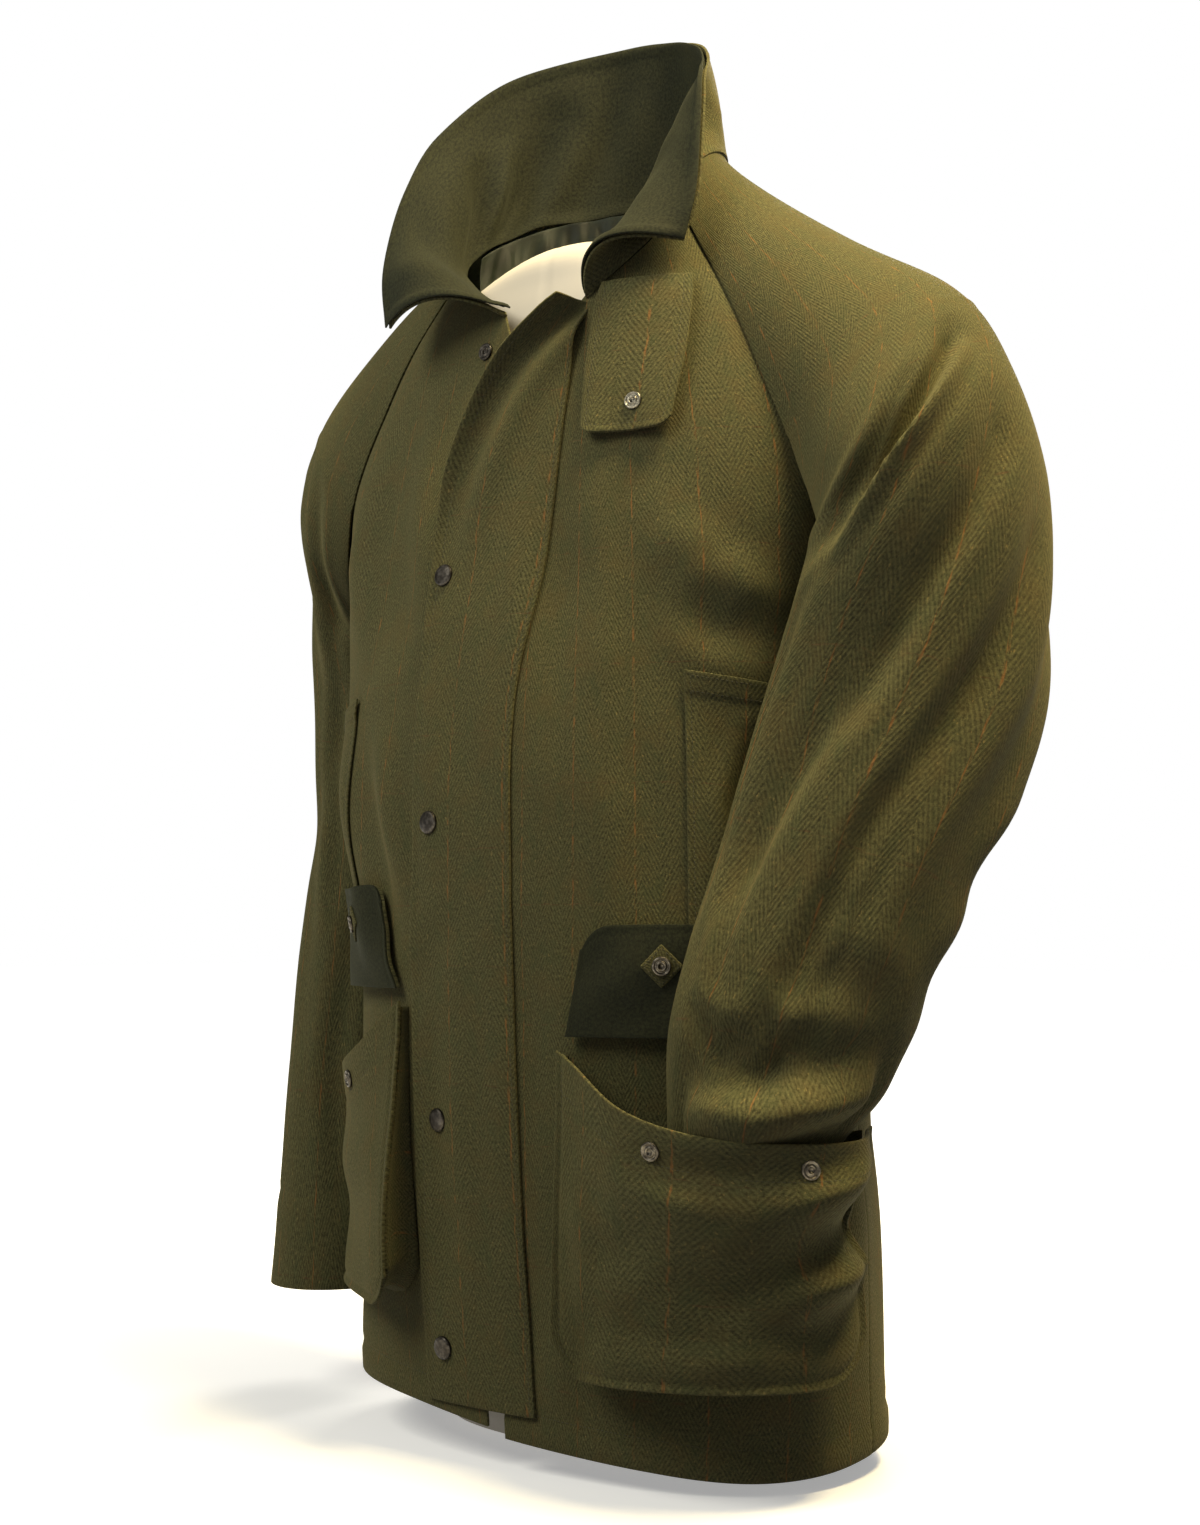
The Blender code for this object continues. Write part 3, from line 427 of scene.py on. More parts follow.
# Height of the mouth from which the bottom row of stitches is placed
MOUTH_MIDDLE = 0.226
POCKET_CREASES_LEFT = (
    # across from the middle, up
    (-0.020, 0.204, 0.015, 0.196, 0.050, 0.200, 0.010, -0.0034),
    (-0.050, 0.200, -0.008, 0.180, 0.030, 0.176, 0.012, 0.0030),
    (0.092, 0.176, 0.070, 0.160, 0.040, 0.150, 0.012, -0.0085),
    (0.088, 0.150, 0.066, 0.134, 0.044, 0.126, 0.010, 0.0050),
    (0.080, 0.192, 0.064, 0.182, 0.046, 0.180, 0.009, 0.0036),
    (0.050, 0.142, 0.018, 0.130, -0.020, 0.140, 0.015, -0.0060),
    (0.084, 0.120, 0.066, 0.104, 0.040, 0.098, 0.010, -0.0036),
    (0.030, 0.112, -0.005, 0.104, -0.045, 0.114, 0.014, -0.0030),
    (-0.020, 0.165, -0.040, 0.150, -0.062, 0.148, 0.012, -0.0030),
    (-0.070, 0.190, -0.064, 0.150, -0.068, 0.110, 0.010, 0.0022),
    (0.050, 0.090, 0.010, 0.086, -0.040, 0.090, 0.008, 0.0026),
)
POCKET_CREASES_RIGHT = (
    (-0.060, 0.200, -0.010, 0.185, 0.040, 0.190, 0.018, -0.0026),
    (-0.040, 0.130, 0.000, 0.115, 0.050, 0.125, 0.020, -0.0030),
    (0.060, 0.180, 0.070, 0.140, 0.060, 0.110, 0.016, -0.0024),
)

# Flaps, turned up, with their linings and the diamond patches under their studs
FLAP_LOW, FLAP_HIGH = 0.274, 0.342
FLAP_CORNER = 0.024
# How far their tweed side stands off, how much narrower than the pocket they are, and how
# far their free corners lean outwards
FLAP_OUT = 6.8 * MM
FLAP_INNER = 0.006
FLAP_TAPER = {"left": 0.012, "right": 0.026}
PATCH_THICK = 1.5 * MM
PATCH_HALF = 0.013
PATCH_Z = 0.317
STUD_ACROSS = (-0.018, 0.047)
STUD_BELOW_MOUTH = 0.017
LINING_OUT = FLAP_OUT + SEAM_GAP + MOLESKIN
PATCH_OUT = LINING_OUT + 0.2 * MM + PATCH_THICK
FLAP_CREASES = (
    (-0.070, 0.020, -0.045, 0.035, -0.030, 0.055, 0.012, 0.0020),
    (-0.020, 0.010, -0.005, 0.030, 0.010, 0.040, 0.012, -0.0014),
    (0.040, 0.010, 0.050, 0.030, 0.060, 0.050, 0.012, 0.0018),
)

# A single stud beside the zip's top end
NECK_STUD_X, NECK_STUD_Z = -0.036, 0.732
NECK_STUD_SPAN = 0.020

# Back neck lining: where it starts, how deep it is and how far inside the body it lies
LINING_START = -14
LINING_DROP_SIDE, LINING_DROP_BACK = 0.034, 0.054
LINING_INSET = (7 * MM, 4 * MM)
# Its puckers: depth, and how often they come round it
PUCKERS = ((1.2 * MM, 150), (1.0 * MM, 67))

# Hand-warmer pocket: a patch with a raised welt along its top.
WARMER_INNER, WARMER_OUTER = -36.0, -12.0
WARMER_LOW, WARMER_HIGH = 0.300, 0.500
WARMER_SLANT = 0.012
WARMER_WELT = 0.012
WELT_RISE = 1.0 * MM
WARMER_STITCH = 4 * MM

# Dress form
FORM = table(
    "z side front back",
    (0.000, 0.130, 0.050, 0.084),
    (0.060, 0.148, 0.072, 0.092),
    (0.150, 0.164, 0.098, 0.094),
    (0.300, 0.162, 0.108, 0.092),
    (0.420, 0.160, 0.108, 0.092),
    (0.550, 0.168, 0.098, 0.102),
    (0.640, 0.170, 0.086, 0.104),
    (0.700, 0.166, 0.078, 0.098),
    (0.740, 0.160, 0.075, 0.090),
    (0.765, 0.148, 0.073, 0.080),
    (0.780, 0.130, 0.071, 0.064),
    (0.790, 0.108, 0.070, 0.050),
    (0.797, 0.085, 0.068, 0.036),
    (0.803, 0.063, 0.063, 0.027),
    (0.809, 0.046, 0.052, 0.018),
    (0.812, 0.030, 0.038, 0.008),
)
FORM_SQUARE = 2.3
FORM_SEAM_DEPTH, FORM_SEAM_HALF = 0.5 * MM, 0.9 * MM
FORM_TOP = 0.812
# Its columns and rows, and how much closer the rows are at the top
FORM_GRID, FORM_CROWDING = (112, 90), 1.5

# Largest folds, as smooth ridges (height above 0) or valleys: from one end to the other
# in metres round the piece and up or along it, with the half width across the fold.
BODY_FOLDS_LEFT = (
    # from: round, up; to: round, up; half width; height
    (-0.170, 0.560, -0.060, 0.420, 0.035, -0.004),
    (-0.110, 0.020, -0.080, 0.060, 0.040, 0.004),
)
BODY_FOLDS_RIGHT = (
    (-0.120, 0.560, -0.030, 0.400, 0.035, -0.004),
    (-0.110, 0.030, -0.080, 0.060, 0.040, 0.003),
)
SLEEVE_FOLDS_LEFT = (
    # from: round, along; to: round, along; half width; height
    (0.175, 0.188, 0.125, 0.262, 0.014, -0.008),
    (0.215, 0.242, 0.150, 0.385, 0.018, -0.009),
    (0.260, 0.272, 0.221, 0.405, 0.017, -0.006),
    (0.157, 0.452, 0.215, 0.452, 0.011, -0.005),
)
SLEEVE_FOLDS_RIGHT = (
    (0.180, 0.190, 0.110, 0.300, 0.018, -0.005),
    (0.120, 0.340, 0.210, 0.370, 0.016, -0.004),
)

# Sizes by which places on the sleeves and the body turn into metres round and along them
GIRTH, ARM_LENGTH = 0.44, 0.50
BODY_RADIUS = 0.17

# The body panels stop this far short of the side seams' middle.
SEAM_ANGLE = math.degrees(0.05 * MM / BODY_RADIUS)

# Above the underarm the body panels run on under the sleeves, by an angle, and sink: how
# far, over which share of their width, and over how much of their height it comes in. The
# sleeves' edges lie this far above the body.
TUCK_ANGLE, TUCK_FADE = 1.6, 0.03
SINK, SINK_SHARE = 1.0 * MM, (0.93, 0.99)
SEAM_LIFT = 0.6 * MM

# Finer folds: up to three points, round and up or along, with half width and height.
# A negative height is a trough with a soft shoulder on each side, whose height, place and
# half width are shares of the trough's own. END_SHARE is left of the height at the ends.
SHOULDER_HEIGHT, SHOULDER_AWAY, SHOULDER_HALF = 0.4, 1.9, 0.8
END_SHARE = 0.35
BODY_CREASES_LEFT = (
    # front: from the collar down beside the placket
    (-0.215, 0.640, -0.205, 0.560, -0.190, 0.470, 0.020, -0.0029),
    (-0.165, 0.640, -0.160, 0.560, -0.168, 0.470, 0.018, 0.0024),
    (-0.120, 0.600, -0.098, 0.560, -0.060, 0.545, 0.016, 0.0036),
    (-0.105, 0.560, -0.085, 0.530, -0.050, 0.520, 0.014, -0.0044),
    (-0.150, 0.480, -0.130, 0.420, -0.125, 0.350, 0.018, -0.0029),
    (-0.060, 0.455, -0.072, 0.415, -0.066, 0.370, 0.009, -0.0052),
    (-0.225, 0.330, -0.215, 0.260, -0.220, 0.180, 0.016, -0.0023),
    (-0.195, 0.140, -0.190, 0.095, -0.200, 0.050, 0.016, 0.0026),
    # side and back
    (0.010, 0.420, 0.000, 0.330, 0.006, 0.240, 0.016, -0.0044),
    (0.030, 0.230, 0.034, 0.160, 0.028, 0.060, 0.020, -0.0057),
    (0.075, 0.300, 0.082, 0.190, 0.072, 0.060, 0.024, -0.0049),
    (0.120, 0.330, 0.130, 0.210, 0.118, 0.060, 0.026, -0.0044),
    (0.190, 0.660, 0.208, 0.540, 0.204, 0.430, 0.024, -0.0047),
    (0.085, 0.560, 0.115, 0.460, 0.130, 0.380, 0.020, -0.0047),
    (0.150, 0.500, 0.160, 0.400, 0.150, 0.300, 0.024, -0.0031),
    (0.215, 0.330, 0.222, 0.230, 0.214, 0.090, 0.026, -0.0034),
)
BODY_CREASES_RIGHT = (
    (-0.108, 0.690, -0.118, 0.610, -0.150, 0.540, 0.018, -0.0034),
    (-0.150, 0.690, -0.165, 0.610, -0.190, 0.540, 0.014, 0.0022),
    (-0.085, 0.650, -0.078, 0.600, -0.100, 0.530, 0.014, 0.0036),
    (-0.118, 0.470, -0.135, 0.410, -0.165, 0.345, 0.016, -0.0052),
    (-0.155, 0.460, -0.165, 0.400, -0.185, 0.330, 0.014, 0.0026),
    (-0.060, 0.480, -0.066, 0.420, -0.060, 0.350, 0.014, -0.0044),
    (-0.220, 0.300, -0.214, 0.220, -0.222, 0.120, 0.016, -0.0023),
    (0.012, 0.410, 0.004, 0.330, 0.010, 0.240, 0.016, -0.0042),
    (0.036, 0.220, 0.040, 0.150, 0.032, 0.070, 0.020, -0.0055),
    (0.085, 0.290, 0.090, 0.190, 0.082, 0.070, 0.024, -0.0047),
    (0.135, 0.300, 0.140, 0.190, 0.130, 0.070, 0.026, -0.0042),
    (0.195, 0.640, 0.205, 0.540, 0.196, 0.430, 0.024, -0.0044),
    (0.080, 0.560, 0.110, 0.450, 0.122, 0.370, 0.020, -0.0044),
    (0.150, 0.480, 0.158, 0.390, 0.148, 0.300, 0.024, -0.0031),
    (0.218, 0.300, 0.226, 0.200, 0.218, 0.090, 0.026, -0.0034),
)
SLEEVE_CREASES_LEFT = (
    # beside the shoulder's fold, its crisp crest and the hollow in front of it
    (0.173, 0.193, 0.152, 0.222, 0.138, 0.255, 0.0060, -0.0075),
    (0.184, 0.200, 0.164, 0.232, 0.140, 0.275, 0.0065, 0.0058),
    (0.140, 0.215, 0.128, 0.240, 0.112, 0.262, 0.0120, -0.0055),
    # down the front of the arm
    (0.218, 0.246, 0.196, 0.290, 0.186, 0.335, 0.0075, -0.0052),
    (0.186, 0.318, 0.166, 0.356, 0.148, 0.396, 0.0090, -0.0052),
    (0.203, 0.262, 0.186, 0.318, 0.160, 0.372, 0.0080, 0.0030),
    (0.134, 0.300, 0.136, 0.345, 0.130, 0.400, 0.0080, 0.0026),
    (0.120, 0.300, 0.120, 0.345, 0.116, 0.400, 0.0070, -0.0026),
    (0.258, 0.278, 0.238, 0.325, 0.222, 0.372, 0.0075, -0.0045),
    (0.224, 0.360, 0.214, 0.400, 0.200, 0.428, 0.0070, -0.0034),
    (0.240, 0.330, 0.228, 0.370, 0.216, 0.412, 0.0070, 0.0020),
    (0.160, 0.395, 0.158, 0.412, 0.165, 0.428, 0.0070, -0.0028),
    # where the cuff is pushed into the pocket
    (0.158, 0.460, 0.212, 0.459, 0.278, 0.444, 0.0085, 0.0190),
    (0.146, 0.434, 0.172, 0.440, 0.192, 0.437, 0.0042, -0.0050),
    (0.192, 0.430, 0.215, 0.436, 0.236, 0.428, 0.0042, -0.0036),
    (0.210, 0.418, 0.240, 0.412, 0.272, 0.416, 0.0070, -0.0026),
    # round the back
    (0.310, 0.235, 0.300, 0.315, 0.275, 0.385, 0.0150, -0.0058),
    (0.355, 0.285, 0.345, 0.350, 0.335, 0.420, 0.0160, -0.0054),
    (0.395, 0.270, 0.400, 0.330, 0.380, 0.380, 0.0130, -0.0040),
    (0.300, 0.375, 0.330, 0.365, 0.365, 0.372, 0.0100, -0.0044),
    (0.300, 0.405, 0.325, 0.398, 0.350, 0.405, 0.0090, -0.0034),
)
SLEEVE_CREASES_RIGHT = (
    (0.060, 0.170, 0.066, 0.215, 0.086, 0.262, 0.0110, -0.0056),
    (0.110, 0.185, 0.105, 0.230, 0.120, 0.290, 0.0140, 0.0042),
    (0.086, 0.285, 0.104, 0.325, 0.092, 0.365, 0.0110, -0.0048),
    (0.130, 0.300, 0.134, 0.350, 0.122, 0.410, 0.0130, -0.0034),
    (0.070, 0.390, 0.075, 0.425, 0.066, 0.465, 0.0110, -0.0031),
    (0.190, 0.215, 0.180, 0.290, 0.165, 0.370, 0.0170, -0.0062),
    (0.245, 0.205, 0.240, 0.275, 0.215, 0.340, 0.0150, -0.0056),
    (0.310, 0.240, 0.300, 0.320, 0.280, 0.400, 0.0170, -0.0056),
    (0.360, 0.280, 0.355, 0.350, 0.340, 0.430, 0.0150, -0.0048),
    (0.200, 0.395, 0.240, 0.385, 0.285, 0.392, 0.0110, -0.0042),
    (0.170, 0.430, 0.165, 0.455, 0.172, 0.480, 0.0110, -0.0028),
)


def creases(rows, across, along):
    """Height of the finer folds at one place. Each fades out towards both ends."""
    total = np.zeros(np.broadcast(across, along).shape)
    for x0, y0, x1, y1, x2, y2, half, height in rows:
        best = np.full(total.shape, 1e9)
        progress = np.zeros(total.shape)
        for start, (ax, ay, bx, by) in ((0.0, (x0, y0, x1, y1)), (0.5, (x1, y1, x2, y2))):
            dx, dy = bx - ax, by - ay
            f = np.clip(((across - ax) * dx + (along - ay) * dy) / (dx * dx + dy * dy), 0, 1)
            near = (across - ax - f * dx) ** 2 + (along - ay - f * dy) ** 2
            progress = np.where(near < best, start + f / 2, progress)
            best = np.minimum(near, best)
        away = np.sqrt(best) / half
        shape = swell(away, 1) - SHOULDER_HEIGHT * swell(away - SHOULDER_AWAY, SHOULDER_HALF)
        faded = END_SHARE + (1 - END_SHARE) * np.sin(math.pi * progress)
        total = total + height * shape * faded
    return total


def ridges(folds, across, along):
    """Height of the largest folds at one place."""
    total = 0.0
    for x0, y0, x1, y1, half, height in folds:
        dx, dy = x1 - x0, y1 - y0
        f = np.clip(((across - x0) * dx + (along - y0) * dy) / (dx * dx + dy * dy), 0, 1)
        near = (across - x0 - f * dx) ** 2 + (along - y0 - f * dy) ** 2
        total = total + height * np.exp(-near / half**2)
    return total


def side_name(side):
    return "left" if side > 0 else "right"


def by_side(rows, side, key, prefix=""):
    """A column that differs between the two sides; side may differ from place to place."""
    left, right = read(rows, prefix + "left", key), read(rows, prefix + "right", key)
    return np.where(np.asarray(side) > 0, left, right)


def body(side, angle, z):
    """A point on the jacket's body: angle is -90 at the centre front, 0 at the side."""
    turn = np.radians(angle)
    c, s = np.cos(turn), np.sin(turn)
    half = by_side(TORSO, side * np.where(c >= 0, 1, -1), z)
    deep = np.where(s < 0, read(TORSO, "front", z), read(TORSO, "back", z))
    square = read(TORSO, "square", z)
    radius = (np.abs(c / half) ** square + np.abs(s / deep) ** square) ** (-1 / square)
    around = turn * BODY_RADIUS
    left = ridges(BODY_FOLDS_LEFT, around, z) + creases(BODY_CREASES_LEFT, around, z)
    right = ridges(BODY_FOLDS_RIGHT, around, z) + creases(BODY_CREASES_RIGHT, around, z)
    radius = radius + np.where(np.asarray(side) > 0, left, right)
    return xyz(side * radius * c, radius * s, z)


def body_normal(side, angle, z):
    round_body = body(side, angle + 1, z) - body(side, angle - 1, z)
    up = body(side, angle, z + STEP) - body(side, angle, z - STEP)
    return unit(np.cross(round_body, up) * np.asarray(side)[..., None])


def on_body(side, angle, z, out):
    return body(side, angle, z) + body_normal(side, angle, z) * np.asarray(out)[..., None]


def angle_at(side, x, z):
    """The angle on one side at which the front lies x from the centre line."""
    deep = read(TORSO, "front", z)
    half = by_side(TORSO, side, z)
    square = read(TORSO, "square", z)
    y = deep * (1 - np.abs(x / half) ** square) ** (1 / square)
    return np.degrees(np.arctan2(-y, x))


def on_front(x, z, out):
    side = np.where(x >= 0, 1, -1)
    return on_body(side, angle_at(side, np.abs(x), z), z, out)


def raglan(seam, side, t):
    rows = RAGLAN_FRONT if seam == "front" else RAGLAN_BACK
    return by_side(rows, side, t, "angle_"), read(rows, "z", t)


def body_edge(seam, side, v):
    """(angle, z) along a body panel's outer edge: up the side seam, then the raglan seam."""
    angle, top = raglan(seam, side, 1.0)
    low_z = mix(by_side(HEM, side, 0), top, v / SPLIT)
    high_angle, high_z = raglan(seam, side, 1 - np.maximum(v - SPLIT, 0) / (1 - SPLIT))
    low = v <= SPLIT
    angle = np.where(low, read(SIDE_SEAM, "angle", low_z), high_angle)
    return angle, np.where(low, low_z, high_z)


def middle_z(v, hem, underarm, neck):
    high = mix(underarm, neck, (v - SPLIT) / (1 - SPLIT))
    return np.where(v <= SPLIT, mix(hem, underarm, v / SPLIT), high)


def settled(side, angle, z, v, hem, neck):
    """Moves a panel's height so that its ends lie on the hem and on the neckline; hem and
    neck are where they would be without."""
    z = z + (by_side(HEM, side, angle) - hem) * (1 - ease(v, 0.0, SETTLED_BELOW))
    return z + (by_side(NECKLINE, side, angle) - neck) * ease(v, SETTLED_ABOVE, 1.0)


def hem_relief(above):
    """A turned-up hem: thicker below its stitch line, which is pulled in."""
    full = 1 - ease(above, HEM_DEPTH - 2 * MM, HEM_DEPTH + 4 * MM)
    return HEM_FULLNESS * full - HEM_LINE_DEPTH * swell(above - HEM_DEPTH, WIDE_LINE_HALF)


def tucked(v, f):
    """How far a panel's edge sinks under the sleeve; f is 1 at the seam."""
    return -SINK * ease(f, *SINK_SHARE) * ease(v, SPLIT - TUCK_FADE, SPLIT + TUCK_FADE)


def front_place(side, u, v):
    """(angle, z) on a front panel, u from the centre front to the side."""
    name = side_name(side)
    edge_angle, edge_z = body_edge("front", side, v)
    hem = by_side(HEM, side, -90)
    z = middle_z(v, hem, UNDERARM_FRONT_Z, NECK_FRONT[name])
    reach = edge_angle - SEAM_ANGLE + TUCK_ANGLE * ease(v, SPLIT, SPLIT + 2 * TUCK_FADE)
    angle = mix(angle_at(side, by_side(FRONT_EDGE, side, z), z), reach, u)
    hem = mix(hem, by_side(HEM, side, 0), u)
    neck = mix(NECK_FRONT[name], raglan("front", side, 0)[1], u)
    return angle, settled(side, angle, mix(z, edge_z, u), v, hem, neck)


def front_point(side):
    def point(u, v):
        angle, z = front_place(side, u, v)
        relief = hem_relief(z - by_side(HEM, side, angle)) + tucked(v, u)
        return on_body(side, angle, z, relief)

    return point


def back_place(u, v):
    side = np.where(u >= 0.5, 1, -1)
    f = np.abs(u - 0.5) * 2
    edge_angle, edge_z = body_edge("back", side, v)
    hem, neck = by_side(HEM, 1, 90), by_side(NECKLINE, 1, 90)
    z = mix(middle_z(v, hem, UNDERARM_BACK_Z, neck), edge_z, f)
    hem = mix(hem, by_side(HEM, side, 0), f)
    neck = mix(neck, raglan("back", side, 0)[1], f)
    reach = edge_angle + SEAM_ANGLE - TUCK_ANGLE * ease(v, SPLIT, SPLIT + 2 * TUCK_FADE)
    angle = mix(90, reach, f)
    return side, angle, settled(side, angle, z, v, hem, neck)


def back_point(u, v):
    """The back panel, u from the wearer's right (0) to the left (1)."""
    side, angle, z = back_place(u, v)
    relief = hem_relief(z - by_side(HEM, side, angle)) + tucked(v, np.abs(u - 0.5) * 2)
    return on_body(side, angle, z, relief)


def clear_of_body(side, place, hold):
    """Pushes a point on a sleeve straight out from the body's middle, as far as it needs."""
    angle = np.degrees(np.arctan2(place[..., 1], side * place[..., 0]))
    flat = np.hypot(place[..., 0], place[..., 1])
    near = body(side, angle, place[..., 2])
    need = np.hypot(near[..., 0], near[..., 1]) + read(ARM_CLEARANCE, "gap", place[..., 2])
    short = (need - flat) * hold
    eased = np.maximum(short + ARM_SOFTNESS, 0) ** 2 / (4 * ARM_SOFTNESS)
    push = np.where(short > ARM_SOFTNESS, short, eased)
    grown = 1 + push / flat
    return xyz(place[..., 0] * grown, place[..., 1] * grown, place[..., 2])


def sleeve_point(side):
    rows = SLEEVE_LEFT if side > 0 else SLEEVE_RIGHT
    folds = SLEEVE_FOLDS_LEFT if side > 0 else SLEEVE_FOLDS_RIGHT
    fine = SLEEVE_CREASES_LEFT if side > 0 else SLEEVE_CREASES_RIGHT

    def ring(phi, t):
        heading, tilt, pitch = (
            np.radians(read(rows, column, t)) for column in ("heading", "tilt", "pitch")
        )
        centre = xyz(*(read(rows, column, t) for column in "xyz"))
        level = xyz(-np.sin(heading), -np.cos(heading), 0)
        front = level * np.cos(pitch)[..., None] + xyz(0, 0, np.sin(pitch))
        level = xyz(np.cos(heading), -np.sin(heading), 0)
        outward = level * np.cos(tilt)[..., None] + xyz(0, 0, np.sin(tilt))
        reach = front * (read(rows, "width", t) * np.cos(phi))[..., None]
        rise = outward * (read(rows, "depth", t) * np.sin(phi))[..., None]
        place = centre + reach + rise
        mirror = np.array([side, 1, 1])
        return place * mirror, centre * mirror

    def point(turn, t):
        turn, t = np.broadcast_arrays(np.asarray(turn, float), np.asarray(t, float))
        held = np.clip(t, 0.0, 1.0)
        # a half ring at the neck, which closes to a whole one at the underarm
        opening = np.radians(90 * held**2)
        phi = -opening + (math.pi + 2 * opening) * turn
        place, inside = ring(phi, t)
        hold = 1 - ease(t, 1.0, 1.0 + SEAM_FADE)
        for seam, end, away in (("front", -opening, turn), ("back", math.pi + opening, 1 - turn)):
            near = on_body(side, *raglan(seam, side, held), SEAM_LIFT)
            pull = np.maximum(1 - away / SEAM_REACH, 0.0) ** 2
            weight = np.where(away > 0, pull, 1 - away / SEAM_BEYOND)
            place = place + (near - ring(end, held)[0]) * (weight * hold)[..., None]
        at_neck = 1 - ease(t, 0.0, NECK_FADE)
        angle = mix(raglan("front", side, 0)[0], raglan("back", side, 0)[0], turn)
        edge = on_body(side, angle, by_side(NECKLINE, side, angle), SEAM_LIFT)
        place = mix(place, edge, (at_neck**2)[..., None])
        cleared = clear_of_body(side, place, ease(t, *CLEAR_FROM))
        place = np.where(t[..., None] > CLEAR_FROM[0], cleared, place)
        around, along = turn * GIRTH, t * ARM_LENGTH / 2
        lift = ridges(folds, around, along) + creases(fine, around, along)
        lift = lift + hem_relief((2 - t) * ARM_LENGTH / 2 - CUFF_HEM + HEM_DEPTH)
        return place + unit(place - inside) * lift[..., None]

    return point


def along_sleeve(v):
    """Sleeve rows share the raglan seam's rows down to the underarm, at t = 1."""
    row = v * SLEEVE_ROWS
    low = 1 + (row - RAGLAN_ROWS) / (SLEEVE_ROWS - RAGLAN_ROWS)
    return np.where(row <= RAGLAN_ROWS, row / RAGLAN_ROWS, low)


def collar_point(out):
    """One layer of the collar: u from the left front end to the right, v up to its edge."""

    def middle(u, v):
        angle = mix(COLLAR_START, COLLAR_END, u)
        side = np.where(angle <= 90, 1, -1)
        near = np.where(angle <= 90, angle, 180 - angle)
        base = body(side, near, by_side(NECKLINE, side, near)) + xyz(0, 0, COLLAR_RISE)
        edge = xyz(*(read(COLLAR, "edge_" + k, angle) for k in "xyz"))
        mid = xyz(*(read(COLLAR, "mid_" + k, angle) for k in "xyz"))
        bend = mid * 2 - (base + edge) / 2
        v = np.asarray(v)[..., None]
        return base * (1 - v) ** 2 + bend * 2 * v * (1 - v) + edge * v * v

    def point(u, v):
        across = middle(u + STEP, v) - middle(u - STEP, v)
        up = middle(u, v + WIDE_STEP) - middle(u, v - WIDE_STEP)
        rim = np.minimum(np.minimum(u, 1 - u) * COLLAR_AROUND, (1 - v) * COLLAR_DEEP)
        line = math.copysign(COLLAR_LINE_DEPTH, out) * swell(rim - COLLAR_STITCH, LINE_HALF)
        lift = out - line + creases(COLLAR_CREASES, u * COLLAR_AROUND, v * COLLAR_DEEP)
        at_neck, at_rim = COLLAR_SWELLS_OUT if out > 0 else COLLAR_SWELLS_IN
        lift = lift + at_neck * (1 - ease(v, 0.0, COLLAR_NECK_SHARE))
        lift = lift + at_rim * swell(rim - COLLAR_RIM, COLLAR_ROLL)
        return middle(u, v) + unit(np.cross(across, up)) * lift[..., None]

    return point


def placket_place(u, v):
    z = mix(PLACKET_LOW, PLACKET_HIGH, v)
    x = mix(read(PLACKET, "free", z), read(PLACKET, "sewn", z), u)
    stand = read(PLACKET, "stand", z) * np.maximum(1 - u, 0.0) ** PLACKET_FALL
    return x, z, stand


def placket_point(u, v):
    x, z, stand = placket_place(u, v)
    width = read(PLACKET, "sewn", z) - read(PLACKET, "free", z)
    across = u * width
    free = swell(across - PLACKET_STITCH, LINE_HALF)
    sewn = swell((1 - u) * width - PLACKET_SEWN, FINE_LINE_HALF)
    down = PLACKET_SEWN_DROP * ease(across, width - 2 * MM, width)
    puff = -PLACKET_LINE_DEPTH * (free + sewn) - down
    hollow, crest = (swell(across - place, half) for place, half in PLACKET_WAVES)
    roll = PLACKET_ROLL * (swell(across, PLACKET_RIM_HALF) + crest - hollow)
    ripple = creases(PLACKET_CREASES, across, z)
    roll = roll * ease(z, *PLACKET_ROLL_FROM)
    return on_front(x, z, LAY_GAP + TWEED + stand + puff + ripple + roll)


def tape_point(side):
    def point(u, v):
        z = mix(ZIP_LOW, NECK_FRONT[side_name(side)] - ZIP_BELOW_NECK, v)
        edge = by_side(FRONT_EDGE, side, z) - by_side(FRONT_EDGE, side, 0) + ZIP_HALF
        return on_front(side * (edge + ZIP_TAPE_WIDTH * u), z, -TWEED - LAY_GAP)

    return point


def rounded(across, low, corner, width):
    """Height of a pocket's bottom edge at one place across it, with round corners."""
    past = np.clip(np.abs(across) - (width / 2 - corner), 0, CORNER_SHARE * corner)
    return low + corner - np.sqrt(corner**2 - past**2)


def spread(u):
    """Columns closer together near both ends."""
    return 0.5 * u + 0.5 * (0.5 - 0.5 * np.cos(math.pi * u))


def column_at(f):
    """The column, as u, that spread puts at one place."""
    u = f
    for _ in range(20):
        u += f - spread(u)
    return u


def pocket_angle(side, across):
    return POCKET_MIDDLE[side_name(side)] + np.degrees(across / POCKET_RADIUS)


def pocket_place(side, f, v):
    """(across, z, stand) on a pocket's wall: stand is how far its inside is off the body."""
    across = (f - 0.5) * POCKET_WIDTH
    low = rounded(across, POCKET_LOW, POCKET_CORNER, POCKET_WIDTH)
    z = mix(low, read(MOUTH, "z", f), v)
    if side > 0:
        high, half, far = POCKET_PINCH
        across = across - far * swell(z - high, half) * ease(across, 0.02, POCKET_WIDTH / 2)
    rows = STAND_LEFT if side > 0 else STAND_RIGHT
    stand = mix(read(rows, "low", f), read(rows, "high", f), ease(v))
    return across, z + POCKET_RAISE[side_name(side)], stand


def inside_edge(across, z):
    """How far a place on a pocket's wall is inside its sides, bottom and round corners."""
    out = np.abs(across) - (POCKET_WIDTH / 2 - POCKET_CORNER)
    down = POCKET_LOW + POCKET_CORNER - z
    beyond = np.hypot(np.maximum(out, 0), np.maximum(down, 0))
    return POCKET_CORNER - beyond - np.minimum(np.maximum(out, down), 0)


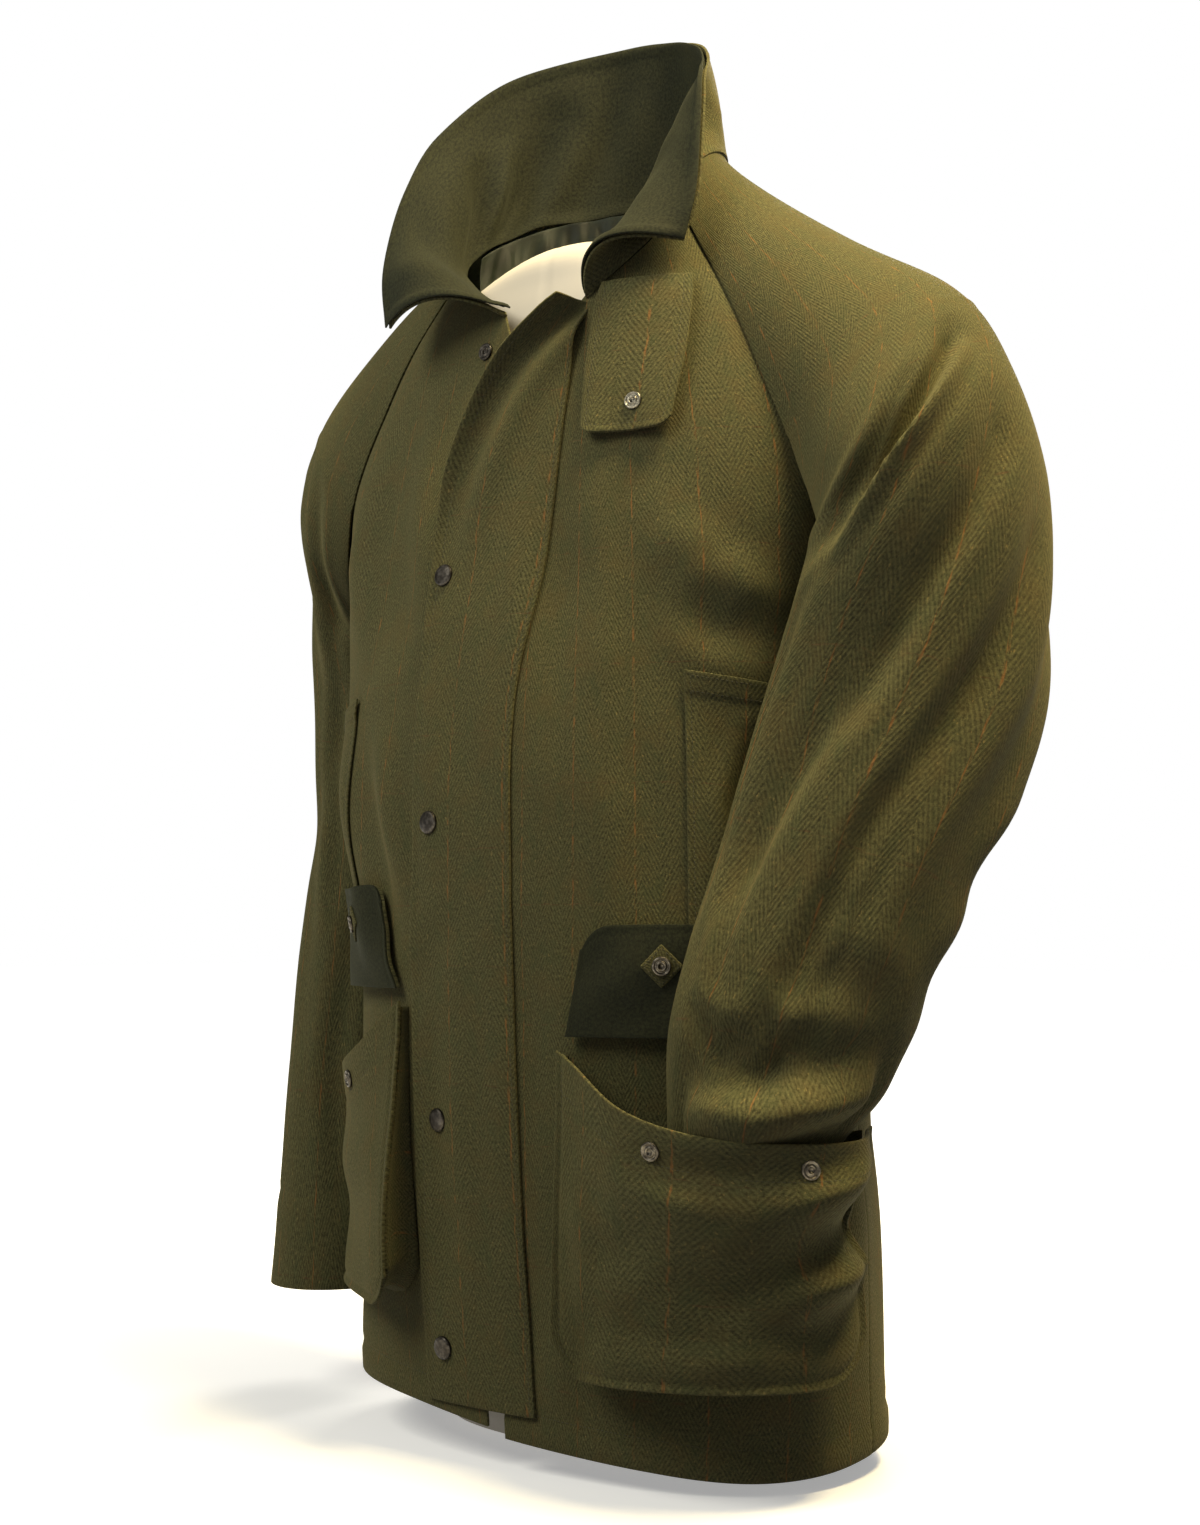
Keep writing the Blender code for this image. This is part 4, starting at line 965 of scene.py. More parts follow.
def pocket_point(side):
    def point(u, v):
        across, z, stand = pocket_place(side, spread(u), v)
        low_z = z - POCKET_RAISE[side_name(side)]
        rim = inside_edge((spread(u) - 0.5) * POCKET_WIDTH, low_z)
        line = POCKET_LINE_DEPTH * swell(rim - POCKET_STITCH, LINE_HALF)
        below = read(MOUTH, "z", spread(u)) - low_z
        hem = MOUTH_LINE_DEPTH * swell(below - MOUTH_HEM, WIDE_LINE_HALF)
        rows = POCKET_CREASES_LEFT if side > 0 else POCKET_CREASES_RIGHT
        wave = creases(rows, across, low_z) + POCKET_BEAD * swell(rim, POCKET_BEAD_HALF)
        return on_body(side, pocket_angle(side, across), z, stand + TWEED - line - hem + wave)

    return point


def gusset_point(side):
    """Round the pocket's left, bottom and right edges, u; v from the body to the wall."""
    stops = [(0.0, 1 - i / POCKET_ROWS) for i in range(POCKET_ROWS)]
    stops += [(float(spread(i / POCKET_COLUMNS)), 0.0) for i in range(POCKET_COLUMNS)]
    stops += [(1.0, i / POCKET_ROWS) for i in range(POCKET_ROWS + 1)]
    places = np.array([[float(k) for k in pocket_place(side, *stop)] for stop in stops])
    centre_z = (POCKET_LOW + FLAP_LOW) / 2 + POCKET_RAISE[side_name(side)]
    keep = 1 - GUSSET_INSET / (POCKET_WIDTH / 2)

    def point(u, v):
        place = np.clip(u, 0.0, 1.0) * (len(stops) - 1)
        i = np.minimum(place.astype(int), len(stops) - 2)
        f = (u * (len(stops) - 1) - i)[..., None]
        here = mix(places[i], places[i + 1], f)
        across = here[..., 0] * keep
        z = centre_z + (here[..., 1] - centre_z) * keep
        fold = GUSSET_FOLD * np.sin(math.pi * v) * ease(here[..., 2], *FOLD_STAND)
        pull = 1 - fold / (POCKET_WIDTH / 2)
        out = mix(0.2 * MM, here[..., 2] - 0.4 * MM, v)
        across, z = across * pull, centre_z + (z - centre_z) * pull
        return on_body(side, pocket_angle(side, across), z, out)

    return point


def flap_point(side, out):
    def point(u, v):
        width = POCKET_WIDTH - FLAP_INNER
        across = (spread(u) - 0.5) * width
        top = FLAP_HIGH + FLAP_LOW - rounded(across, FLAP_LOW, FLAP_CORNER, width)
        z = mix(FLAP_LOW, top, v) + POCKET_RAISE[side_name(side)]
        rim = np.minimum(width / 2 - np.abs(across), (1 - v) * (FLAP_HIGH - FLAP_LOW))
        line = THIN_LINE_DEPTH * swell(rim - POCKET_STITCH, LINE_HALF)
        across = mix(across, width / 2, FLAP_TAPER[side_name(side)] / width * v)
        wave = creases(FLAP_CREASES, across, v * (FLAP_HIGH - FLAP_LOW))
        place = pocket_angle(side, across + FLAP_INNER / 2)
        return on_body(side, place, z, out - line + wave)

    return point


def patch_point(side, middle, out):
    def point(u, v):
        across = middle + (u - v) * PATCH_HALF
        z = PATCH_Z + (u + v - 1) * PATCH_HALF + POCKET_RAISE[side_name(side)]
        wave = creases(FLAP_CREASES, across, z - POCKET_RAISE[side_name(side)] - FLAP_LOW)
        return on_body(side, pocket_angle(side, across), z, out + wave)

    return point


def warmer_point(side):
    def point(u, v):
        share = WARMER_WELT / (WARMER_HIGH - WARMER_LOW)
        welt = ease(v, 1 - 1.3 * share, 1 - share) * WELT_RISE
        z = mix(WARMER_LOW, WARMER_HIGH - WARMER_SLANT * u, v)
        rim = np.minimum(u, 1 - u) * math.radians(WARMER_OUTER - WARMER_INNER) * BODY_RADIUS
        line = THIN_LINE_DEPTH * swell(rim - WARMER_STITCH, FINE_LINE_HALF)
        angle = mix(WARMER_INNER, WARMER_OUTER, u)
        return on_body(side, angle, z, LAY_GAP + PATCH_THICK + welt - line)

    return point


def tab_point(u, v):
    z = mix(TAB_LOW, TAB_HIGH, v)
    low = rounded((spread(u) - 0.5) * TAB_WIDTH, 0.0, TAB_CORNER, TAB_WIDTH) * (1 - v)
    x = mix(read(TAB, "inner", z), read(TAB, "outer", z), spread(u))
    rim = np.minimum(np.minimum(spread(u), 1 - spread(u)) * TAB_WIDTH, v * (TAB_HIGH - TAB_LOW))
    line = THIN_LINE_DEPTH * swell(rim - POCKET_STITCH, LINE_HALF)
    curl = TAB_CURL * np.sin(math.pi * 3 * u) * (1 - v) ** 2
    return on_front(x, z + low, LAY_GAP + TWEED + read(TAB, "stand", z) - line + curl)


def beside_zip(u, v):
    x = NECK_STUD_X - NECK_STUD_SPAN * (u - 0.5)
    return on_front(x, NECK_STUD_Z + NECK_STUD_SPAN * (v - 0.5), 0.2 * MM)


def lining_point(u, v):
    angle = mix(LINING_START, 180 - LINING_START, u)
    side = np.where(angle <= 90, 1, -1)
    near = np.where(angle <= 90, angle, 180 - angle)
    base = body(side, near, by_side(NECKLINE, side, near))
    flat = unit(base * np.array([1, 1, 0]))
    drop = mix(LINING_DROP_SIDE, LINING_DROP_BACK, ease(near, 30, 90))
    (fine, often), (wide, seldom) = PUCKERS
    pucker = fine * np.sin(u * often) * np.sin(math.pi * v) + wide * np.sin(u * seldom + 4 * v)
    base = base - flat * (mix(LINING_INSET[0], LINING_INSET[1], v) + pucker)[..., None]
    return base - xyz(0, 0, LAY_GAP + drop * v)


# Width of one rib of the satin and the tape, and of one pick of the tape
SATIN_RIB, TAPE_RIB, TAPE_PICK = 0.0009, 0.0016, 0.0011


class Value:
    """A shader socket that can be added, multiplied and so on."""

    def __init__(self, finish, socket):
        self.finish, self.socket = finish, socket

    def __add__(self, other):
        return self.finish.math("ADD", self, other)

    def __sub__(self, other):
        return self.finish.math("SUBTRACT", self, other)

    def __rsub__(self, other):
        return self.finish.math("SUBTRACT", other, self)

    def __mul__(self, other):
        return self.finish.math("MULTIPLY", self, other)

    def __truediv__(self, other):
        return self.finish.math("DIVIDE", self, other)

    __radd__ = __add__
    __rmul__ = __mul__


class Finish:
    """One procedural material."""

    def __init__(self, name, roughness, metallic=0.0):
        self.material = bpy.data.materials.new(name)
        self.material.use_nodes = True
        self.tree = self.material.node_tree
        self.shader = self.tree.nodes["Principled BSDF"]
        self.set("Roughness", roughness)
        self.set("Metallic", metallic)

    def set(self, name, value):
        if isinstance(value, Value):
            self.tree.links.new(value.socket, self.shader.inputs[name])
        else:
            self.shader.inputs[name].default_value = value

    def node(self, kind, settings=None, inputs=None, out=0):
        made = self.tree.nodes.new("ShaderNode" + kind)
        for name, value in (settings or {}).items():
            setattr(made, name, value)
        for name, value in (inputs or {}).items():
            if isinstance(value, Value):
                self.tree.links.new(value.socket, made.inputs[name])
            else:
                made.inputs[name].default_value = value
        return Value(self, made.outputs[out])

    def math(self, operation, *values):
        return self.node("Math", {"operation": operation}, dict(enumerate(values)))

    def blend(self, factor, a, b):
        return self.node("Mix", {"data_type": "RGBA"}, {0: factor, 6: a, 7: b}, 2)

    def band(self, value, low, high):
        """0 below low and 1 above high, with a smooth rise."""
        return self.node("MapRange", {"interpolation_type": "SMOOTHSTEP"},
                         {"Value": value, "From Min": low, "From Max": high})

    def noise(self, place, scale, detail=2.0, rough=0.5):
        return self.node("TexNoise", None, {
            "Vector": place, "Scale": scale, "Detail": detail, "Roughness": rough})

    def bump(self, height, distance, strength=1.0):
        self.set("Normal", self.node("Bump", None, {
            "Height": height, "Distance": distance, "Strength": strength}))

    def cloth(self):
        """The cloth's own map in metres, as a vector and as its two numbers."""
        place = self.node("UVMap", {"uv_map": "cloth"})
        return place, *(self.node("SeparateXYZ", None, {0: place}, axis) for axis in (0, 1))

    def stretch(self, place, x, y):
        return self.node("VectorMath", {"operation": "MULTIPLY"}, {0: place, 1: (x, y, 1.0)})

    def solid(self):
        return self.node("TexCoord", None, None, 3)

    def sheen(self, weight, roughness, tint):
        self.set("Sheen Weight", weight)
        self.set("Sheen Roughness", roughness)
        self.set("Sheen Tint", (*tint, 1.0))


def shade(colour, factor):
    return tuple(c * factor for c in colour[:3]) + (1.0,)


# Yarns of the tweed besides its ground, and where a check line is solid and where it ends
BROWN, MOSS = (0.105, 0.070, 0.022, 1.0), (0.046, 0.062, 0.024, 1.0)
OCHRE, RUST = (0.27, 0.20, 0.070, 1.0), (0.16, 0.045, 0.024, 1.0)
CHECK_LINE = (0.3 * MM, 1.1 * MM)


def tweed_finish(settings):
    """Herringbone tweed: broken twill in stripes, heather flecks and a faint overcheck."""
    f = Finish("tweed", 0.92)
    place, x, y = f.cloth()
    wobble = f.noise(place, 60.0, 1.0)
    x = x + (wobble - 0.5) * 0.0012
    stripe = settings.stripe
    zigzag = f.math("PINGPONG", x, stripe)
    turn = f.math("FLOOR", x / stripe)
    line = (y + zigzag * settings.twill_slope) / settings.twill_pitch + turn * 0.5
    twill = f.math("SINE", line * (2 * math.pi)) * 0.5 + 0.5
    yarn = f.noise(place, 520.0, 3.0, 0.75)
    fibre = f.noise(place, 1900.0, 2.0, 0.6)
    patch = f.noise(place, 34.0, 3.0, 0.6)
    drift = f.noise(f.stretch(place, 1.0, 0.6), 90.0, 2.0, 0.5)
    base = settings.tweed
    depth = f.band(twill * 0.14 + yarn * 1.0 + fibre * 0.35, 0.46, 1.04)
    colour = f.blend(depth, shade(base, 0.30), shade(base, 1.90))
    brown = f.band(patch, 0.45, 0.70) * 0.30
    colour = f.blend(brown, colour, BROWN)
    green = f.band(drift, 0.48, 0.70) * 0.28
    colour = f.blend(green, colour, MOSS)
    fleck = f.noise(f.stretch(place, 1.0, 0.55), 520.0, 2.0, 0.75)
    ochre = f.band(fleck, 0.62, 0.72) * 0.6
    colour = f.blend(ochre, colour, OCHRE)
    dark = f.band(1 - fleck, 0.62, 0.72) * 0.5
    colour = f.blend(dark, colour, shade(base, 0.25))
    broken = f.noise(f.stretch(place, 1.0, 0.12), 900.0, 1.0)
    across = f.math("PINGPONG", x + 0.011, settings.check_width / 2)
    upright = (1 - f.band(across, *CHECK_LINE)) * f.band(broken, 0.45, 0.64) * 0.48
    colour = f.blend(upright, colour, settings.check)
    broken = f.noise(f.stretch(place, 0.12, 1.0), 900.0, 1.0)
    along = f.math("PINGPONG", y + 0.02, settings.check_height / 2)
    level = (1 - f.band(along, *CHECK_LINE)) * f.band(broken, 0.48, 0.66) * 0.24
    colour = f.blend(level, colour, RUST)
    f.set("Base Color", colour)
    f.bump(twill * 0.32 + yarn * 0.95 + fibre * 0.45, 0.00055, 0.75)
    f.sheen(0.20, 0.60, (0.60, 0.52, 0.22))
    f.set("Specular IOR Level", 0.18)
    return f.material


def moleskin_finish(settings):
    """Short brushed nap, with soft lighter and darker places."""
    f = Finish("moleskin", 0.88)
    place, _, _ = f.cloth()
    nap = f.noise(f.stretch(place, 1.0, 0.5), 1300.0, 3.0, 0.65)
    brushed = f.noise(f.stretch(place, 1.0, 0.7), 42.0, 4.0, 0.55)
    weave = f.noise(place, 480.0, 1.0)
    base = settings.moleskin
    depth = f.band(nap * 0.7 + weave * 0.6, 0.45, 0.85)
    colour = f.blend(depth, shade(base, 0.45), shade(base, 1.7))
    colour = f.blend(f.band(brushed, 0.45, 0.75) * 0.30, colour, (0.026, 0.025, 0.010, 1.0))
    colour = f.blend(f.band(1 - brushed, 0.50, 0.75) * 0.30, colour, (0.008, 0.010, 0.006, 1.0))
    f.set("Base Color", colour)
    f.bump(nap * 0.7 + weave * 0.3, 0.0003, 0.6)
    f.sheen(0.06, 0.45, (0.55, 0.58, 0.36))
    f.set("Specular IOR Level", 0.2)
    return f.material


def satin_finish(settings):
    """Smooth lining cloth with fine ribs."""
    f = Finish("satin", 0.55)
    f.set("Specular IOR Level", 0.25)
    place, _, y = f.cloth()
    rib = f.math("SINE", y * (2 * math.pi / SATIN_RIB)) * 0.5 + 0.5
    cloud = f.noise(place, 38.0, 2.0)
    base = settings.satin
    f.set("Base Color", f.blend(f.band(cloud, 0.35, 0.70), shade(base, 0.65), shade(base, 1.5)))
    f.bump(rib * 0.2 + f.noise(place, 60.0, 3.0), 0.0012, 0.5)
    f.sheen(0.05, 0.4, (0.5, 0.7, 0.5))
    return f.material


def tape_finish(settings):
    """Woven zip tape, with ribs along it."""
    f = Finish("tape", 0.85)
    place, x, y = f.cloth()
    rib = f.math("SINE", x * (2 * math.pi / TAPE_RIB)) * 0.5 + 0.5
    pick = f.math("SINE", y * (2 * math.pi / TAPE_PICK)) * 0.5 + 0.5
    fibre = f.noise(place, 1400.0, 2.0)
    base = settings.tape
    f.set("Base Color", f.blend(rib * 0.5 + fibre * 0.5, shade(base, 0.5), shade(base, 1.7)))
    f.bump(rib * 0.5 + pick * 0.3 + fibre * 0.2, 0.0003, 0.7)
    return f.material


def metal_finish(name, colour, roughness, worn):
    """Cast and tumbled metal, brighter where it has been rubbed."""
    f = Finish(name, roughness, 1.0)
    place = f.solid()
    cloud = f.noise(place, 320.0, 3.0, 0.6)
    grain = f.noise(place, 2600.0, 2.0)
    f.set("Base Color", f.blend(f.band(cloud, 0.40, 0.72), shade(colour, 0.7), worn))
    f.set("Roughness", f.band(grain, 0.2, 0.9) * 0.25 + (roughness - 0.1))
    f.bump(grain * 0.7 + cloud * 0.3, 0.00003, 0.4)
    return f.material


def ivory_finish(settings):
    """The form's smooth covered shell, with a faint stretch-jersey grain."""
    f = Finish("ivory", 0.5)
    place = f.solid()
    cloud = f.noise(place, 6.0, 2.0)
    grain = f.noise(place, 900.0, 2.0)
    base = settings.ivory
    tint = f.blend(f.band(cloud, 0.35, 0.7) * 0.5, tuple(base) + (1.0,), shade(base, 0.93))
    f.set("Base Color", f.blend(grain * 0.08, tint, shade(base, 0.8)))
    f.bump(grain, 0.00008, 0.4)
    return f.material


def thread_finish(settings):
    f = Finish("thread", 0.8)
    place = f.solid()
    twist = f.noise(place, 2400.0, 2.0)
    base = settings.thread
    f.set("Base Color", f.blend(twist, shade(base, 0.6), shade(base, 1.4)))
    f.bump(twist, 0.0001, 0.6)
    return f.material


def floor_finish(settings):
    """Pale studio floor with a painted glow: its emission brightens evenly from dim grey near the
    middle to white towards its rim.
    """
    f = Finish("floor", 0.7)
    place = f.solid()
    mottle = f.noise(place, 3.0, 3.0)
    f.set("Base Color", f.blend(mottle, (0.86, 0.86, 0.86, 1.0), (0.92, 0.92, 0.92, 1.0)))
    away = f.node("VectorMath", {"operation": "LENGTH"}, {0: place}, 1)
    # painted glow: the floor shines by its own emission, dim grey near the middle and white
    # towards the rim, where it meets the white backdrop
    near_glow, far_glow = (0.34, 0.34, 0.34, 1.0), (1.0, 1.0, 1.0, 1.0)
    f.set("Emission Color", f.blend(f.band(away, 0.25, 1.30), near_glow, far_glow))
    f.set("Emission Strength", 1.0)
    f.set("Specular IOR Level", 0.0)
    return f.material


METALS = {
    "pewter": ((0.090, 0.080, 0.068), 0.42, (0.17, 0.155, 0.13, 1.0)),
    "gunmetal": ((0.046, 0.041, 0.037), 0.46, (0.085, 0.078, 0.070, 1.0)),
    "nickel": ((0.15, 0.14, 0.115), 0.36, (0.28, 0.26, 0.21, 1.0)),
    "brass": ((0.50, 0.30, 0.085), 0.34, (0.80, 0.55, 0.20, 1.0)),
}


def finish_of(name):
    """The material of that name, made when it is first asked for."""
    found = bpy.data.materials.get("jacket_" + name)
    if found:
        return found
    settings = bpy.context.scene.jacket_finish
    if name in METALS:
        made = metal_finish(name, *METALS[name])
    else:
        made = {
            "tweed": tweed_finish, "moleskin": moleskin_finish, "satin": satin_finish,
            "tape": tape_finish, "ivory": ivory_finish, "thread": thread_finish,
            "floor": floor_finish,
        }[name](settings)
    made.name = "jacket_" + name
    return made


# How each piece of cloth was cut, as width and length, and the area where it isn't a rectangle
CUTS = {
    "back": (0.54, 0.86, 0.345),
    "front_left": (0.32, 0.80, 0.19),
    "front_right": (0.32, 0.80, 0.19),
    "sleeve_left": (0.46, 0.78, 0.280),
    "sleeve_right": (0.46, 0.78, 0.290),
    "zip_tape_left": (0.014, 0.72, None),
    "zip_tape_right": (0.014, 0.72, None),
    "pocket_left": (0.23, 0.20, 0.0405),
    "pocket_right": (0.20, 0.18, 0.0305),
    "gusset_left": (0.50, 0.05, 0.0130),
    "gusset_right": (0.50, 0.028, 0.0075),
    "flap_left": (0.180, 0.070, 0.0120),
    "flap_right": (0.180, 0.070, 0.0114),
    "flap_lining_left": (0.180, 0.070, 0.0120),
    "flap_lining_right": (0.180, 0.070, 0.0114),
    "warmer_left": (0.076, 0.205, None),
    "warmer_right": (0.080, 0.207, None),
    "under_collar": (0.58, 0.14, 0.0600),
    "collar_facing": (0.58, 0.14, 0.0600),
    "back_neck_lining": (0.36, 0.054, 0.0122),
    "placket": (0.10, 0.75, 0.0645),
    "throat_tab": (0.068, 0.112, None),
}


def add_object(name, mesh, *materials):
    made = bpy.data.objects.new(name, mesh)
    for material in materials:
        mesh.materials.append(finish_of(material))
    bpy.context.scene.collection.objects.link(made)
    return made


# How much of a cloth's thickness its rounded edges take
EDGE_SHARE = 0.4

# Solids that one piece of cloth stands for besides its own
ALSO = {"sleeve_left": ("sleeve_left_lower",)}


def declare(made, node):
    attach(made, "root")
    if node is not None:
        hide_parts(node, *ALSO.get(node, ()))
    return made


def shell(
    node, material, columns, rows, point, thickness, facing=1, key=None, tube_from=None,
    size=None, at=None, lining=None,
):
    """A cloth piece in place of its solid. point(u, key(v)) is its outer face and at gives
    the cloth's own map; rows past tube_from close into a tube."""
    bm = bmesh.new()
    bmesh.ops.create_grid(bm, x_segments=columns, y_segments=rows, size=0.5)
    grid = np.array([vert.co[:2] for vert in bm.verts]) + 0.5
    u, v = grid[:, 0], grid[:, 1]
    along = key(v) if key else v
    places = point(u, along)
    chart = np.stack(at(u, along) if at else (u * size[0], v * size[1]), axis=-1)
    for vert, place in zip(bm.verts, places):
        vert.co = place
    edge_map = bm.verts.layers.float_vector.new("chart")
    for vert, (a, b), turn in zip(bm.verts, chart, u):
        vert[edge_map] = (a, b, turn)
    if tube_from is not None:
        row_of = np.round(v * rows).astype(int)
        firsts = {row_of[i]: i for i in np.flatnonzero((u < 1e-4) & (along > tube_from))}
        lasts = {row_of[i]: i for i in np.flatnonzero((u > 1 - 1e-4) & (along > tube_from))}
        bm.verts.ensure_lookup_table()
        targets = {bm.verts[lasts[row]]: bm.verts[i] for row, i in firsts.items()}
        bmesh.ops.weld_verts(bm, targetmap=targets)
    if facing < 0:
        bmesh.ops.reverse_faces(bm, faces=bm.faces)
    cloth_map = bm.loops.layers.uv.new("cloth")
    span = float(chart[:, 0].max() - chart[:, 0].min())
    for face in bm.faces:
        turns = [loop.vert[edge_map][2] for loop in face.loops]
        crosses = tube_from is not None and max(turns) - min(turns) > 0.5
        for loop, turn in zip(face.loops, turns):
            a, b, _ = loop.vert[edge_map]
            loop[cloth_map].uv = (a + span if crosses and turn < 0.5 else a, b)
    bm.verts.layers.float_vector.remove(edge_map)
    mesh = bpy.data.meshes.new(node)
    bm.to_mesh(mesh)
    bm.free()
    mesh.shade_smooth()
    names = (material, lining) if lining else (material,)
    made = add_object(node + "_cloth", mesh, *names)
    solid = made.modifiers.new("thickness", "SOLIDIFY")
    solid.thickness = thickness
    solid.offset = -1
    solid.use_even_offset = False
    if lining:
        solid.material_offset = 1
    round_off = made.modifiers.new("soft edge", "BEVEL")
    round_off.width = thickness * EDGE_SHARE
    round_off.segments = 2
    round_off.limit_method = "ANGLE"
    round_off.angle_limit = math.radians(50)
    declare(made, node)
    node in CUTS


# Sizes by which the maps of the body and the sleeves turn into metres
CHART_RADIUS, CHART_ARM = 0.19, 0.3125


def body_chart(side):
    """Round the body and up it, in metres."""
    def at(u, v):
        angle, z = front_place(side, u, v)
        return np.radians(angle) * CHART_RADIUS * side, z

    return at


def back_chart(u, v):
    side, angle, z = back_place(u, v)
    return side * (np.radians(angle) - math.pi / 2) * CHART_RADIUS, z


def sleeve_chart(side):
    return lambda u, t: ((u - 0.5) * GIRTH * side, -t * CHART_ARM)


def normal_of(point, u, v, facing=1):
    across = point(u + STEP, v) - point(u - STEP, v)
    along = point(u, v + STEP) - point(u, v - STEP)
    return unit(np.cross(across, along)) * facing


def bead(kind, size):
    """The points and faces of one small repeated part."""
    bm = bmesh.new()
    if kind == "stitch":
        bmesh.ops.create_icosphere(bm, subdivisions=1, radius=0.5)
    else:
        bmesh.ops.create_cube(bm, size=1.0)
        bmesh.ops.bevel(bm, geom=bm.edges[:], offset=0.16, offset_type="OFFSET", segments=1,
                        profile=0.5, affect="EDGES", material=-1)
    bmesh.ops.scale(bm, vec=size, verts=bm.verts)
    bmesh.ops.triangulate(bm, faces=bm.faces)
    points = np.array([vert.co[:] for vert in bm.verts])
    faces = np.array([[vert.index for vert in face.verts] for face in bm.faces])
    bm.free()
    return points, faces


# The direction of a line is taken over this much of it, either way
LINE_STEP = 0.5 * MM


def walk(point, u, v, pitch, facing=1, raised=0.0):
    """Places at an even pitch along a line on a piece, each with its three directions."""
    u, v = (np.asarray(k, float) for k in np.broadcast_arrays(u, v))
    line = point(u, v)
    normal = normal_of(point, u, v, facing)
    run = np.concatenate([[0], np.cumsum(np.linalg.norm(np.diff(line, axis=0), axis=1))])
    stops = np.arange(pitch / 2, run[-1], pitch)

    def along(values, stops):
        return np.stack([np.interp(stops, run, values[:, k]) for k in range(3)], axis=-1)

    place, up = along(line, stops), unit(along(normal, stops))
    on = unit(along(line, stops + LINE_STEP) - along(line, stops - LINE_STEP))
    side = unit(np.cross(up, on))
    return place + up * raised, np.stack([on, side, unit(np.cross(on, side))], axis=-2)


def repeated(name, material, kind, size, runs):
    """Many small parts in one mesh, one at every place of every run."""
    points, faces = bead(kind, size)
    place = np.concatenate([run[0] for run in runs])
    turn = np.concatenate([run[1] for run in runs])
    verts = (np.einsum("vi,nij->nvj", points, turn) + place[:, None]).reshape(-1, 3)
    corners = (faces[None] + (np.arange(len(place)) * len(points))[:, None, None]).reshape(-1, 3)
    mesh = bpy.data.meshes.new(name)
    mesh.vertices.add(len(verts))
    mesh.vertices.foreach_set("co", verts.ravel())
    mesh.loops.add(corners.size)
    mesh.loops.foreach_set("vertex_index", corners.ravel())
    mesh.polygons.add(len(corners))
    mesh.polygons.foreach_set("loop_start", np.arange(len(corners)) * 3)
    mesh.update(calc_edges=True)
    mesh.shade_smooth()
    return declare(add_object(name, mesh, material), None)


# One stitch's size, and lines from end to end of a piece
STITCH = (2.3 * MM, 0.6 * MM, 0.42 * MM)
STITCH_PITCH = 3.1 * MM
ALONG = np.linspace(0.002, 0.998, 400)


def sew(name, *lines):
    """Rows of stitches; each line is (point, u, v, facing)."""
    runs = [walk(point, u, v, STITCH_PITCH, facing, 0.05 * MM) for point, u, v, facing in lines]
    return repeated(name, "thread", "stitch", STITCH, runs)


# Profiles of a cap and of a socket, as radius and height in millimetres
CAP = (
    (7.5, 0.0), (7.5, 0.9), (7.35, 1.5), (6.9, 2.0), (6.0, 2.35), (4.4, 2.6), (2.2, 2.75),
    (0.0, 2.8),
)
SOCKET = (
    (6.0, 0.0), (6.0, 0.9), (5.7, 1.5), (5.1, 1.8), (4.5, 1.5), (4.2, 1.0), (3.4, 0.9),
    (3.1, 1.6), (2.6, 2.0), (2.0, 1.9), (1.7, 1.3), (1.5, 0.6), (0.0, 0.5),
)


def stud_on(node, profile, point, u, v, facing=1, material="gunmetal"):
    """A turned stud or cap standing on a piece."""
    u, v = np.array(float(u)), np.array(float(v))
    normal = Vector(normal_of(point, u, v, facing))
    bm = bmesh.new()
    points = [(0.0, 0.0)] + list(profile)
    verts = [bm.verts.new((radius * MM, 0, height * MM)) for radius, height in points]
    edges = [bm.edges.new(pair) for pair in zip(verts, verts[1:])]
    bmesh.ops.spin(
        bm, geom=verts + edges, cent=(0, 0, 0), axis=(0, 0, 1), angle=2 * math.pi,
        steps=32, use_merge=True,
    )
    bmesh.ops.remove_doubles(bm, verts=bm.verts, dist=1e-6)
    bmesh.ops.recalc_face_normals(bm, faces=bm.faces)
    turn = Vector((0, 0, 1)).rotation_difference(normal).to_matrix().to_4x4()
    bmesh.ops.transform(bm, matrix=turn, verts=bm.verts)
    bmesh.ops.translate(bm, vec=Vector(point(u, v)) + normal * 0.1 * MM, verts=bm.verts)
    mesh = bpy.data.meshes.new(node)
    bm.to_mesh(mesh)
    bm.free()
    mesh.shade_smooth()
    return declare(add_object(node + "_metal", mesh, material), node)


